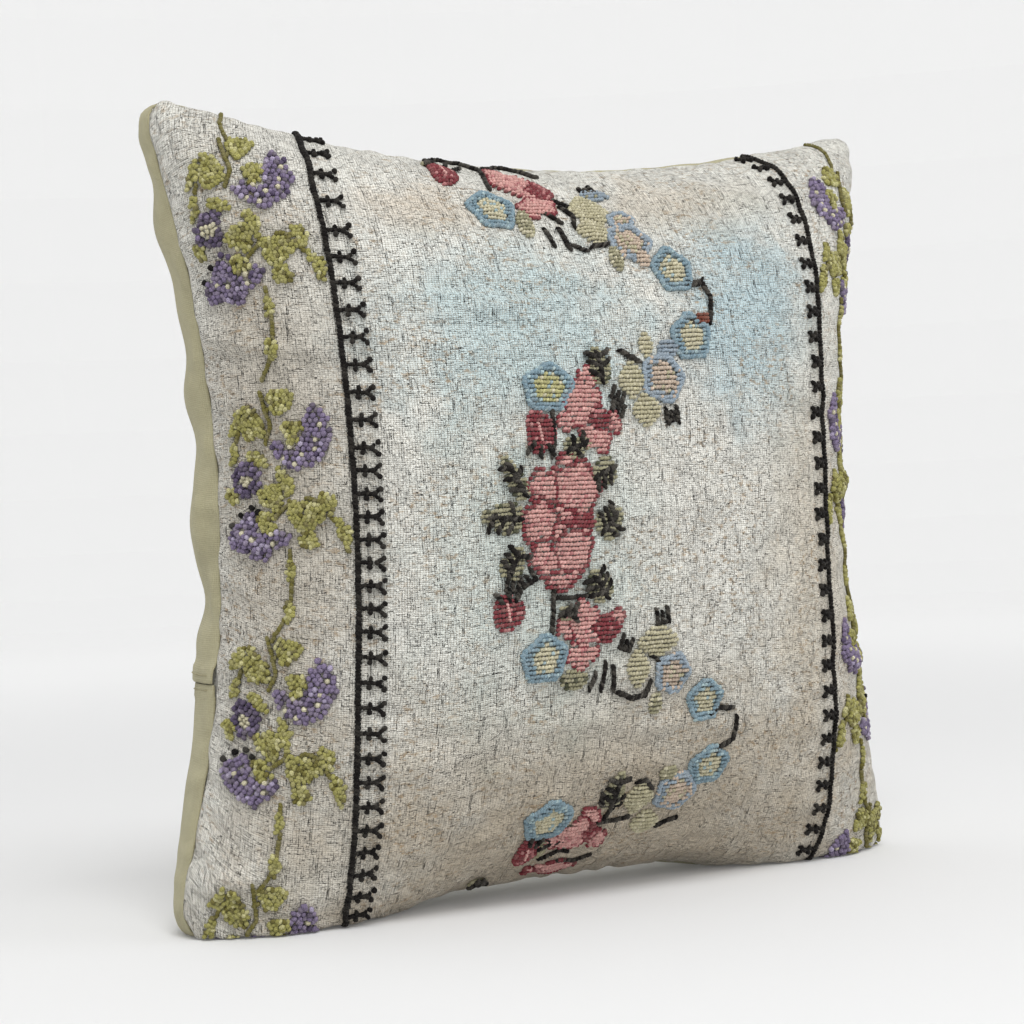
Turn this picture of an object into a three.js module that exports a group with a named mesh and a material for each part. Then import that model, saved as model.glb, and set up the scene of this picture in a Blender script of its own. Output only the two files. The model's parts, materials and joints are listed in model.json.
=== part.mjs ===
// Throw pillow: an embroidered front, a two-part canvas back closed by a zip, and a filled insert.
// Millimetres, +Z up. The pillow stands on its lower edge with its front towards -Y.
// The origin is on the ground, at the middle of the lower edge.
import * as THREE from 'three';

// Driving dimensions -------------------------------------------------------------------------
const pillow = {
  width: 472, // across the corner tips, before they are rounded
  height: 444,
  sidePull: 33, // how far the side seams pull in at mid height
  topPull: 31,
  bottomPull: 9,
  settle: 24, // how far the lower edge is pressed flat against the ground
  settleReach: 70, // the height up to which that is felt
  cornerTuck: 5, // rounding of the corner tips
};
// Each face: its fullest height above the seam plane, the power of its crown across the panel,
// and the power of its fall to the seam, where less is boxier.
const front = { side: -1, rise: 91, crown: 3, fullness: 0.64 };
const back = { side: 1, rise: 94, crown: 2.44, fullness: 0.32 };
const cloth = { seamGap: 0.3, coverThick: 1.2, insertInset: 2.7, insertThick: 0.6, fillInset: 3.7 };
const zip = {
  level: 132, // height of the zip above the ground
  radius: 720, // radius of the curve that the zip follows across the back
  halfLength: 150, // half the length of the chain
  hemHalfGap: 6.5, // half the distance between the two folded hems
  hemClose: 18, // the length over which the hems close past the chain
  tapeWidth: 12,
  tapeThick: 0.6,
  tapeDepth: 2, // from the cloth surface down to the tape
  rowSplit: 0.8, // half the slit between the two halves of the chain
  rowWidth: 2.2,
  rowHeight: 1.7,
  insertDip: 5, // how far the insert gives way behind the zip
  parkAngle: 10.8, // from the middle of the zip to the closed slider, in degrees
};
const slider = {
  length: 10,
  width: 9.6,
  plate: 1,
  flange: 0.8,
  flangeDrop: 1.2,
  post: 0.8,
  lift: 0.4,
  bridgeLength: 7,
  bridgeWidth: 2.4,
  bridgeHeight: 3.2,
  bridgeBar: 1,
};
const tab = { length: 26, width: 7, thick: 1.2, endBar: 1.1, rail: 1, waist: 5.4 };
const stitch = { lift: 1.3, thick: 0.8, lowest: -0.84, highest: 0.955 };
// Where the embroidery runs, as shares of the cloth from its middle to its side.
const border = { line: 0.65, sprigs: 0.585, vineOuter: 0.93, vineInner: 0.68, garland: 0.2 };
const grid = { columns: 16, rows: 18 };

const halfWidth = pillow.width / 2;
const halfHeight = pillow.height / 2;

// Materials ----------------------------------------------------------------------------------
const finish = (color, roughness, metalness = 0) => new THREE.MeshStandardMaterial({ color, roughness, metalness });
const linen = finish(0xc9c4ba, 0.95);
const canvas = finish(0xb5ab8c, 0.92);
const padding = finish(0xe9e7e0, 0.9);
const fibre = finish(0xf2f1ed, 1);
const tapeCloth = finish(0xa89d80, 0.85);
const nylon = finish(0xa3987c, 0.5);
const metal = finish(0x9a9388, 0.38, 0.9);
const blackWool = finish(0x24201e, 1);
const vineWool = finish(0x86804f, 1);
const roseWool = finish(0xa34e58, 1);

// The swollen form ---------------------------------------------------------------------------
const smooth = (from, to, x) => {
  const t = Math.min(Math.max((x - from) / (to - from), 0), 1);
  return t * t * (3 - 2 * t);
};

// Height of a face above the seam plane, as a share of its rise.
const swellAt = (u, v, { crown, fullness }) =>
  Math.max((1 - Math.abs(u) ** crown) * (1 - Math.abs(v) ** crown), 0) ** fullness;

// Point on one face of the pillow. u and v run from -1 to 1 across and up the panel, inset moves
// the whole form inwards, and dip presses the back in along the zip.
function formPoint(u, v, face, inset = 0, dip = 0) {
  const edgePull = v > 0 ? pillow.topPull : pillow.bottomPull;
  const tuck = pillow.cornerTuck * (Math.abs(u) * Math.abs(v)) ** 20;
  const x = u * (halfWidth - inset - pillow.sidePull * (1 - v * v) - tuck);
  let z = halfHeight + v * (halfHeight - inset - edgePull * (1 - u * u) - tuck);
  if (v < 0) {
    const share = (0.1 + 0.9 * smooth(0.25, 0.75, Math.abs(u))) * (1 - smooth(0.85, 1, Math.abs(u)));
    z -= pillow.settle * share * (1 - smooth(0, pillow.settleReach, z));
  }
  z = Math.max(z, inset);
  let y = (face.rise - inset) * swellAt(u, v, face);
  if (face === back) {
    const fromLevel = Math.abs(z - zip.level);
    const nearLevel = 1 - smooth(zip.tapeWidth + 2, zip.tapeWidth + 50, fromLevel);
    const nearMiddle = 1 - smooth(zip.halfLength + 4, zip.halfLength + 34, Math.abs(x));
    y += nearLevel * nearMiddle * (zipArc(x) - inset - y);
    y -= dip * Math.exp(-((fromLevel / 22) ** 2)) * nearMiddle;
  }
  return new THREE.Vector3(x, face.side * Math.max(y, cloth.seamGap / 2), z);
}

// The zip lies on a circular arc about a vertical line in front of the pillow.
const zipV = (zip.level - halfHeight) / (halfHeight - pillow.bottomPull);
const zipAxisY = back.rise * swellAt(0, zipV, back) - zip.radius;
function zipArc(x) {
  return zipAxisY + Math.sqrt(zip.radius ** 2 - x ** 2);
}

// Closed solid between two grids of points: outer(s, t) and inner(s, t), s and t from 0 to 1.
function shell(outer, inner, columns, rows) {
  const points = [];
  for (const face of [outer, inner]) {
    for (let j = 0; j <= rows; j += 1) {
      for (let i = 0; i <= columns; i += 1) points.push(face(i / columns, j / rows));
    }
  }
  const layer = (columns + 1) * (rows + 1);
  const at = (i, j, k) => k * layer + j * (columns + 1) + i;
  const index = [];
  const quad = (a, b, c, d) => index.push(a, b, c, a, c, d);
  for (let j = 0; j < rows; j += 1) {
    for (let i = 0; i < columns; i += 1) {
      quad(at(i, j, 0), at(i + 1, j, 0), at(i + 1, j + 1, 0), at(i, j + 1, 0));
      quad(at(i, j, 1), at(i, j + 1, 1), at(i + 1, j + 1, 1), at(i + 1, j, 1));
    }
  }
  for (let i = 0; i < columns; i += 1) {
    quad(at(i, 0, 0), at(i, 0, 1), at(i + 1, 0, 1), at(i + 1, 0, 0));
    quad(at(i, rows, 0), at(i + 1, rows, 0), at(i + 1, rows, 1), at(i, rows, 1));
  }
  for (let j = 0; j < rows; j += 1) {
    quad(at(0, j, 0), at(0, j + 1, 0), at(0, j + 1, 1), at(0, j, 1));
    quad(at(columns, j, 0), at(columns, j, 1), at(columns, j + 1, 1), at(columns, j + 1, 0));
  }
  return solid(points, index);
}

// Geometry with its faces turned outwards, whichever way round the two grids were given.
function solid(points, index) {
  let volume = 0;
  for (let i = 0; i < index.length; i += 3) {
    const [a, b, c] = [points[index[i]], points[index[i + 1]], points[index[i + 2]]];
    volume += a.dot(new THREE.Vector3().crossVectors(b, c));
  }
  if (volume < 0) index.reverse();
  const geometry = new THREE.BufferGeometry().setFromPoints(points);
  geometry.setIndex(index);
  geometry.computeVertexNormals();
  return geometry;
}

// Rows and columns crowd together near the seams, where the cloth turns sharply.
const crowd = (t) => Math.sin((t - 0.5) * Math.PI);

function panel(face, inset, thick, dip = 0) {
  return shell(
    (s, t) => formPoint(crowd(s), crowd(t), face, inset, dip),
    (s, t) => formPoint(crowd(s), crowd(t), face, inset + thick, dip),
    grid.columns,
    grid.rows,
  );
}

// Height on the panel, as v, of the folded hem beside the zip.
function hemV(u, direction) {
  const reach = halfHeight - pillow.bottomPull * (1 - u * u);
  const middle = (zip.level - halfHeight) / reach;
  const x = Math.abs(formPoint(u, middle, back).x);
  const open = 1 - smooth(zip.halfLength + 3, zip.halfLength + zip.hemClose, x);
  const halfGap = cloth.seamGap / 2 + (zip.hemHalfGap - cloth.seamGap / 2) * open;
  return middle + (direction * halfGap) / reach;
}

function backPanel(direction, rows) {
  const v = (u, t) => {
    const hem = hemV(u, direction);
    const bend = direction > 0 ? Math.sin((t * Math.PI) / 2) : 1 - Math.cos((t * Math.PI) / 2);
    return direction > 0 ? hem + (1 - hem) * bend : -1 + (1 + hem) * bend;
  };
  return shell(
    (s, t) => formPoint(crowd(s), v(crowd(s), t), back),
    (s, t) => formPoint(crowd(s), v(crowd(s), t), back, cloth.coverThick),
    grid.columns,
    rows,
  );
}

function filling() {
  return shell(
    (s, t) => formPoint(crowd(s), crowd(t), front, cloth.fillInset),
    (s, t) => formPoint(crowd(s), crowd(t), back, cloth.fillInset, zip.insertDip),
    grid.columns,
    grid.rows,
  );
}

// Embroidery ---------------------------------------------------------------------------------
// The share of the way from the middle of the cloth to its side is turned into u, because the
// cloth runs down steeply near the seam and its stitches stay evenly spaced on it.
function clothU(share, v) {
  const steps = 60;
  const lengths = [0];
  let last = formPoint(0, v, front);
  for (let i = 1; i <= steps; i += 1) {
    const next = formPoint(Math.sin((i / steps) * (Math.PI / 2)), v, front);
    lengths.push(lengths[i - 1] + next.distanceTo(last));
    last = next;
  }
  const wanted = Math.abs(share) * lengths[steps];
  const i = Math.max(lengths.findIndex((length) => length >= wanted), 1);
  const part = (wanted - lengths[i - 1]) / (lengths[i] - lengths[i - 1]);
  return Math.sign(share) * Math.sin(((i - 1 + part) / steps) * (Math.PI / 2));
}

function stitchPoint(share, v, lift) {
  const u = clothU(share, v);
  const step = 0.004;
  const here = formPoint(u, v, front);
  const across = formPoint(u + step, v, front).sub(formPoint(u - step, v, front));
  const along = formPoint(u, v + step, front).sub(formPoint(u, v - step, front));
  const normal = new THREE.Vector3().crossVectors(across, along).normalize();
  return here.addScaledVector(normal, lift);
}

// A band of stitching from the lower seam to the upper one, between two shares of the cloth.
function stitchBand(from, to, columns, rows, sway = () => 0) {
  const v = (t) => (stitch.highest + stitch.lowest + (stitch.highest - stitch.lowest) * crowd(t)) / 2;
  const point = (lift) => (s, t) => stitchPoint(from + (to - from) * s + sway(v(t)), v(t), lift);
  return shell(point(stitch.lift), point(stitch.lift + stitch.thick), columns, rows);
}

// The garland winds gently from side to side on its way up.
const garlandSway = (v) => 0.03 + 0.12 * Math.sin(v * Math.PI * 1.1 + 0.6);

// Zip ----------------------------------------------------------------------------------------
// A strip on the zip's arc. Depths are measured outwards from the cloth, heights from the level
// of the zip, and the two angles are measured from the middle of the back.
function arcStrip(fromAngle, toAngle, fromHeight, toHeight, fromDepth, toDepth, steps) {
  const point = (depth) => (s, t) => {
    const angle = fromAngle + (toAngle - fromAngle) * s;
    const reach = zip.radius + depth;
    const height = zip.level + fromHeight + (toHeight - fromHeight) * t;
    return new THREE.Vector3(reach * Math.sin(angle), zipAxisY + reach * Math.cos(angle), height);
  };
  return shell(point(fromDepth), point(toDepth), steps, 1);
}

const chainAngle = Math.asin(zip.halfLength / zip.radius);
const tapeTop = -zip.tapeDepth;
const rowTop = tapeTop + 0.3 + zip.rowHeight;

function tape(direction) {
  const from = direction * zip.rowSplit;
  const to = direction * zip.tapeWidth;
  return arcStrip(-chainAngle, chainAngle, from, to, tapeTop - zip.tapeThick, tapeTop, 20);
}

function toothRow(direction) {
  const from = direction * zip.rowSplit;
  const to = direction * (zip.rowSplit + zip.rowWidth);
  const end = chainAngle - THREE.MathUtils.degToRad(0.5);
  return arcStrip(-end, end, from, to, tapeTop + 0.3, rowTop, 20);
}

// Small clamp past the end of the chain, on one tape or across both.
function stop(end, fromHeight, toHeight) {
  const near = end * (chainAngle - THREE.MathUtils.degToRad(0.45));
  const far = end * (chainAngle - THREE.MathUtils.degToRad(0.15));
  return arcStrip(near, far, fromHeight, toHeight, tapeTop + 0.3, rowTop + 0.2, 1);
}

function extrude(points, depth, holes = []) {
  const shape = new THREE.Shape(points);
  shape.holes = holes;
  const geometry = new THREE.ExtrudeGeometry(shape, { depth, bevelEnabled: false, curveSegments: 8 });
  return geometry.translate(0, 0, -depth / 2);
}

// The slider seen from its end: two plates joined by the post that runs between the rows, and
// two flanges that turn down over the edges of the chain.
function sliderSection() {
  const half = slider.width / 2;
  const post = slider.post / 2;
  const under = rowTop + slider.lift;
  const over = under + slider.plate;
  const floorTop = tapeTop - zip.tapeThick - slider.lift;
  const floorBottom = floorTop - slider.plate;
  const lip = under - slider.flangeDrop;
  const rightSide = [
    [half - 0.6, floorBottom], [half - 0.6, floorTop], [post, floorTop], [post, under],
    [half - slider.flange, under], [half - slider.flange, lip], [half, lip], [half, over - 0.4], [half - 0.4, over],
  ];
  const leftSide = rightSide.map(([x, y]) => [-x, y]).reverse();
  return [...rightSide, ...leftSide].map(([x, y]) => new THREE.Vector2(x, y));
}

const sliderTop = rowTop + slider.lift + slider.plate;
const pivotLift = sliderTop + (slider.bridgeHeight - slider.bridgeBar + 0.3) / 2;

// The slider's body, with its length along local X, outwards along local Y and the height along Z.
function sliderBody() {
  const body = extrude(sliderSection(), slider.length);
  body.rotateY(Math.PI / 2);
  return body;
}

// The arch on top of the slider that the pull tab hangs from.
function sliderBridge() {
  const half = slider.bridgeLength / 2;
  const inner = half - slider.bridgeBar;
  const foot = sliderTop + 0.3;
  const top = sliderTop + slider.bridgeHeight;
  const outline = [
    [-half, foot], [-inner, foot], [-inner, top - slider.bridgeBar], [inner, top - slider.bridgeBar], [inner, foot],
    [half, foot], [half, top - 0.9], [half - 0.9, top], [0.9 - half, top], [-half, top - 0.9],
  ].map(([x, y]) => new THREE.Vector2(x, y));
  return extrude(outline, slider.bridgeWidth);
}

// The tab lies flat along the chain, and its end bar passes under the bridge.
function pullTab() {
  const half = tab.width / 2;
  const waist = tab.waist / 2;
  const bar = tab.endBar / 2;
  const slotEnd = -slider.bridgeLength / 2 - 0.7;
  const shoulder = slotEnd - 1.2;
  const point = ([x, z]) => new THREE.Vector2(x, z);
  const rightSide = [[bar, waist], [shoulder, waist], [shoulder - 2, half], [2 - tab.length, half], [-tab.length, half - 2]];
  const leftSide = rightSide.map(([x, z]) => [x, -z]).reverse();
  const reach = waist - tab.rail;
  const slot = new THREE.Path([[slotEnd, -reach], [-bar, -reach], [-bar, reach], [slotEnd, reach]].map(point));
  return extrude([...rightSide, ...leftSide].map(point), tab.thick, [slot]).rotateX(-Math.PI / 2);
}

// Puts a piece made at the middle of the zip on its arc, at the closed end of the chain.
function park(mesh, lift, along = 0) {
  const angle = THREE.MathUtils.degToRad(zip.parkAngle);
  const reach = zip.radius + lift;
  mesh.rotation.z = -angle;
  const x = along * Math.cos(angle) + reach * Math.sin(angle);
  const y = zipAxisY + reach * Math.cos(angle) - along * Math.sin(angle);
  mesh.position.set(x, y, zip.level);
}

// Assembly -----------------------------------------------------------------------------------
const group = new THREE.Group();
function add(name, geometry, material, parent = group) {
  const mesh = new THREE.Mesh(geometry, material);
  mesh.name = name;
  parent.add(mesh);
  return mesh;
}

add('front_panel', panel(front, 0, cloth.coverThick), linen);
add('back_upper_panel', backPanel(1, 11), canvas);
add('back_lower_panel', backPanel(-1, 7), canvas);
add('insert_front', panel(front, cloth.insertInset, cloth.insertThick), padding);
add('insert_back', panel(back, cloth.insertInset, cloth.insertThick, zip.insertDip), padding);
add('fibre_fill', filling(), fibre);

for (const [side, from, to] of [['left', -1, -1], ['right', 1, 1]]) {
  add(`${side}_border_line`, stitchBand(from * border.line, to * border.sprigs, 2, 20), blackWool);
  add(`${side}_border_vine`, stitchBand(from * border.vineOuter, to * border.vineInner, 4, 20), vineWool);
}
add('centre_garland', stitchBand(-border.garland, border.garland, 4, 20, garlandSway), roseWool);

for (const [part, direction] of [['upper', 1], ['lower', -1]]) {
  add(`zip_${part}_tape`, tape(direction), tapeCloth);
  add(`zip_${part}_teeth`, toothRow(direction), nylon);
  const from = direction * zip.rowSplit;
  add(`zip_top_stop_${part}`, stop(1, from, from + direction * zip.rowWidth), metal);
}
add('zip_bottom_stop', stop(-1, -zip.rowSplit - zip.rowWidth, zip.rowSplit + zip.rowWidth), metal);
park(add('zip_slider_body', sliderBody(), metal), 0);
park(add('zip_slider_bridge', sliderBridge(), metal), 0);
park(add('zip_pull_tab', pullTab(), metal), pivotLift);

export default group;
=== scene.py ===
"""Throw pillow: the looks of the embroidered cover, its zip and its filled insert.

The cloth panels are blown up by cloth simulation from the flat rectangles that they are cut to,
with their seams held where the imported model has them. The embroidery is laid on the finished
cloth stitch by stitch. Drawing sizes are in millimetres and finished meshes in metres.
"""
import json
import logging
import math
from collections.abc import Callable, Sequence
from dataclasses import dataclass, field
from enum import Enum

import bpy
import numpy as np
from mathutils import Matrix, Vector


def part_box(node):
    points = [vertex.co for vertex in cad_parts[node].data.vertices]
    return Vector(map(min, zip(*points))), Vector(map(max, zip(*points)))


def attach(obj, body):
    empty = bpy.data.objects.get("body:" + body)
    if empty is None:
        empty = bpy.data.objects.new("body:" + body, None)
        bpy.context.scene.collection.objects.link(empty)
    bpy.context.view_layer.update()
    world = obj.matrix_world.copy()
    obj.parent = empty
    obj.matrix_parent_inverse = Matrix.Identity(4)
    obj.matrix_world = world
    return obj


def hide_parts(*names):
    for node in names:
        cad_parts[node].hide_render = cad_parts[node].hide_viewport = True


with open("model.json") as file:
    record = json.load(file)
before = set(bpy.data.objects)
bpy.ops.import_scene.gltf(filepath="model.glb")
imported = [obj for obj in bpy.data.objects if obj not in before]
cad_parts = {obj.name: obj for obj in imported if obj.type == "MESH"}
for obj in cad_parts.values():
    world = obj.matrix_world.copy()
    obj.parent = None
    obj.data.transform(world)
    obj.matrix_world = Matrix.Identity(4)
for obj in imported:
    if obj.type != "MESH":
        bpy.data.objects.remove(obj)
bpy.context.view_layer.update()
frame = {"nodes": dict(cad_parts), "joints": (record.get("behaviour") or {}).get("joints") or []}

LOG = logging.getLogger("throw_pillow")
MM = 0.001

Array = np.ndarray
Point = tuple[float, float]
Colour = tuple[float, float, float]


# Small helpers --------------------------------------------------------------------------------
def smooth(low: float, high: float, value: Array | float) -> Array:
    """Ease a value from 0 at low to 1 at high."""
    share = np.clip((np.asarray(value, float) - low) / (high - low), 0.0, 1.0)
    return share * share * (3.0 - 2.0 * share)


def linear(colour: Sequence[float]) -> Colour:
    """Turn a screen colour of 0 to 255 into the shader's linear values."""
    share = [c / 255.0 for c in colour]
    return tuple(c / 12.92 if c <= 0.04045 else ((c + 0.055) / 1.055) ** 2.4 for c in share)


def deselect_all() -> None:
    """Leave object mode with nothing selected."""
    if bpy.context.object is not None and bpy.context.object.mode != "OBJECT":
        bpy.ops.object.mode_set(mode="OBJECT")
    for obj in bpy.context.selected_objects:
        obj.select_set(False)


def make_active(obj: bpy.types.Object) -> None:
    """Select one object and make it the active one."""
    deselect_all()
    obj.select_set(True)
    bpy.context.view_layer.objects.active = obj


def vertex_places(mesh: bpy.types.Mesh) -> Array:
    """Read a mesh's vertices as an array of rows of x, y and z."""
    flat = np.zeros(len(mesh.vertices) * 3, np.float32)
    mesh.vertices.foreach_get("co", flat)
    return flat.reshape(-1, 3).astype(float)


def apply_modifier(obj: bpy.types.Object, kind: str, **settings: object) -> None:
    """Add a modifier, set it and apply it.

    Args:
        obj: The piece.
        kind: Blender's name of the modifier's type.
        **settings: Its settings, by name.
    """
    make_active(obj)
    modifier = obj.modifiers.new(kind.lower(), kind)
    for name, value in settings.items():
        setattr(modifier, name, value)
    bpy.ops.object.modifier_apply(modifier=modifier.name)


def finish_piece(obj: bpy.types.Object, material: bpy.types.Material, slot: str, *nodes: str) -> None:
    """Dress a piece, and let it ride on the cover.

    Args:
        obj: The piece.
        material: Its material.
        slot: The record's material slot; not used.
        *nodes: The CAD nodes that it stands for.
    """
    obj.data.materials.clear()
    obj.data.materials.append(material)
    obj.data.polygons.foreach_set("use_smooth", [True] * len(obj.data.polygons))
    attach(obj, "cover")
    if nodes:
        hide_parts(*nodes)
    LOG.info("%s: %d faces", obj.name, len(obj.data.polygons))


# The swollen form -----------------------------------------------------------------------------
@dataclass(frozen=True)
class Face:
    """One side of the pillow: which way it swells, how far, and how its crown is shaped."""

    side: float
    rise: float
    crown: float
    fullness: float


@dataclass(frozen=True)
class ZipLine:
    """The line of the zip across the back."""

    level: float = frame["joints"][0]["pos_m"][2] / MM
    axis_y: float = frame["joints"][0]["pos_m"][1] / MM
    radius: float = 720.0
    half_length: float = 150.0
    hem_half_gap: float = 6.5
    hem_close: float = 18.0

    def depth(self, x: Array | float) -> Array:
        """Give the y of the zip's arc at x."""
        return self.axis_y + np.sqrt(self.radius**2 - np.asarray(x, float) ** 2)


@dataclass(frozen=True)
class PillowForm:
    """The outer form that both faces and the insert follow, as in the CAD source."""

    half_width: float = 236.0
    half_height: float = 222.0
    side_pull: float = 33.0
    top_pull: float = 31.0
    bottom_pull: float = 9.0
    settle: float = 24.0
    settle_reach: float = 70.0
    ear_reach: float = 6.0
    ear_round: float = 13.0
    ear_plump: float = 14.0
    seam_gap: float = 0.15
    zip_flat: float = 14.0
    zip_blend: float = 48.0
    front: Face = Face(-1.0, 91.0, 3.0, 0.64)
    back: Face = Face(1.0, 94.0, 2.44, 0.32)
    zip: ZipLine = ZipLine()

    def point(self, u: Array, v: Array, face: Face) -> Array:
        """Give the points of one face.

        Args:
            u: Place across the panel, from -1 to 1.
            v: Place up the panel, from -1 to 1.
            face: The side of the pillow.

        Returns:
            The points in millimetres, in rows of x, y and z.
        """
        u, v = np.broadcast_arrays(np.asarray(u, float), np.asarray(v, float))
        pull = np.where(v > 0, self.top_pull, self.bottom_pull)
        corner = np.abs(u) * np.abs(v)
        tuck = self.ear_round * corner**16 - self.ear_reach * corner**4
        x = u * (self.half_width - self.side_pull * (1 - v * v) - tuck)
        z = self.half_height + v * (self.half_height - pull * (1 - u * u) - tuck)
        share = (0.1 + 0.9 * smooth(0.25, 0.75, np.abs(u))) * (1 - smooth(0.85, 1, np.abs(u)))
        z = np.where(v < 0, z - self.settle * share * (1 - smooth(0, self.settle_reach, z)), z)
        z = np.maximum(z, 0.0)
        crown = (1 - np.abs(u) ** face.crown) * (1 - np.abs(v) ** face.crown)
        y = face.rise * np.maximum(crown, 0.0) ** face.fullness
        y = y + self.ear_plump * corner**2 * np.sqrt(np.maximum((1 - u**6) * (1 - v**6), 0.0))
        if face.side > 0:
            y = y + self.near_zip(x, z) * (self.zip.depth(x) - y)
        return np.stack([x, face.side * np.maximum(y, self.seam_gap), z], -1)

    def near_zip(self, x: Array, z: Array) -> Array:
        """Give how far the back keeps to the zip's arc, from 0 to 1."""
        level = 1 - smooth(self.zip_flat, self.zip_flat + self.zip_blend, np.abs(z - self.zip.level))
        reach = self.zip.half_length + 4
        return level * (1 - smooth(reach, reach + 30, np.abs(x)))

    def hem(self, u: Array, direction: float) -> Array:
        """Give the v of the folded hem above (1) or below (-1) the zip."""
        reach = self.half_height - self.bottom_pull * (1 - u * u)
        middle = (self.zip.level - self.half_height) / reach
        x = np.abs(self.point(u, middle, self.back)[..., 0])
        closing = smooth(self.zip.half_length + 3, self.zip.half_length + self.zip.hem_close, x)
        half_gap = self.seam_gap + (self.zip.hem_half_gap - self.seam_gap) * (1 - closing)
        return middle + direction * half_gap / reach


# Surfaces that pieces are laid on --------------------------------------------------------------
class Surface:
    """A grid of points, read anywhere between them by smooth interpolation."""

    def __init__(self, across: Array, up: Array, points: Array) -> None:
        """Keep the grid.

        Args:
            across: The shares of the columns, rising.
            up: The shares of the rows, rising.
            points: The points, by row and column.
        """
        self.across, self.up, self.points = across, up, points

    @staticmethod
    def _weights(place: Array, count: int) -> tuple[Array, Array]:
        """Give the four neighbours of each place on an axis, and their weights."""
        first = np.clip(np.floor(place).astype(int), 0, count - 2)
        t = place - first
        weights = np.stack([
            -0.5 * t + t**2 - 0.5 * t**3,
            1 - 2.5 * t**2 + 1.5 * t**3,
            0.5 * t + 2 * t**2 - 1.5 * t**3,
            -0.5 * t**2 + 0.5 * t**3,
        ], -1)
        neighbours = np.clip(first[..., None] + np.arange(-1, 3), 0, count - 1)
        return neighbours, weights

    def at(self, a: Array, b: Array) -> Array:
        """Give the points at the shares a across and b up."""
        columns = np.interp(a, self.across, np.arange(len(self.across)))
        rows = np.interp(b, self.up, np.arange(len(self.up)))
        i, wi = self._weights(columns, len(self.across))
        j, wj = self._weights(rows, len(self.up))
        near = self.points[j[..., :, None], i[..., None, :]]
        return np.einsum("...j,...i,...jik->...k", wj, wi, near)

    def frame_at(self, a: Array, b: Array) -> tuple[Array, Array, Array, Array]:
        """Give the points, and the unit directions across, up and outwards."""
        step = 0.004
        across = self.at(np.minimum(a + step, 1), b) - self.at(np.maximum(a - step, -1), b)
        up = self.at(a, np.minimum(b + step, self.up[-1])) - self.at(a, np.maximum(b - step, self.up[0]))
        out = unit(np.cross(across, up))
        across = unit(across)
        return self.at(a, b), across, np.cross(out, across), out


def unit(vectors: Array) -> Array:
    """Bring vectors to a length of one."""
    return vectors / np.maximum(np.linalg.norm(vectors, axis=-1, keepdims=True), 1e-9)


def grid_normals(points: Array) -> Array:
    """Give the outward direction at each point of a grid."""
    across = np.gradient(points, axis=1)
    up = np.gradient(points, axis=0)
    return unit(np.cross(across, up))


def lengths_along(points: Array, axis: int) -> Array:
    """Give the length of each line of a grid along an axis."""
    return np.linalg.norm(np.diff(points, axis=axis), axis=-1).sum(axis=axis)


def crowded(count: int, share: float) -> Array:
    """Give rising places from -1 to 1 that crowd towards both ends.

    Args:
        count: How many places.
        share: How strongly they crowd, from 0 to 1.

    Returns:
        The places.
    """
    even = np.linspace(-1, 1, count)
    return (1 - share) * even + share * np.sin(even * math.pi / 2)


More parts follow.
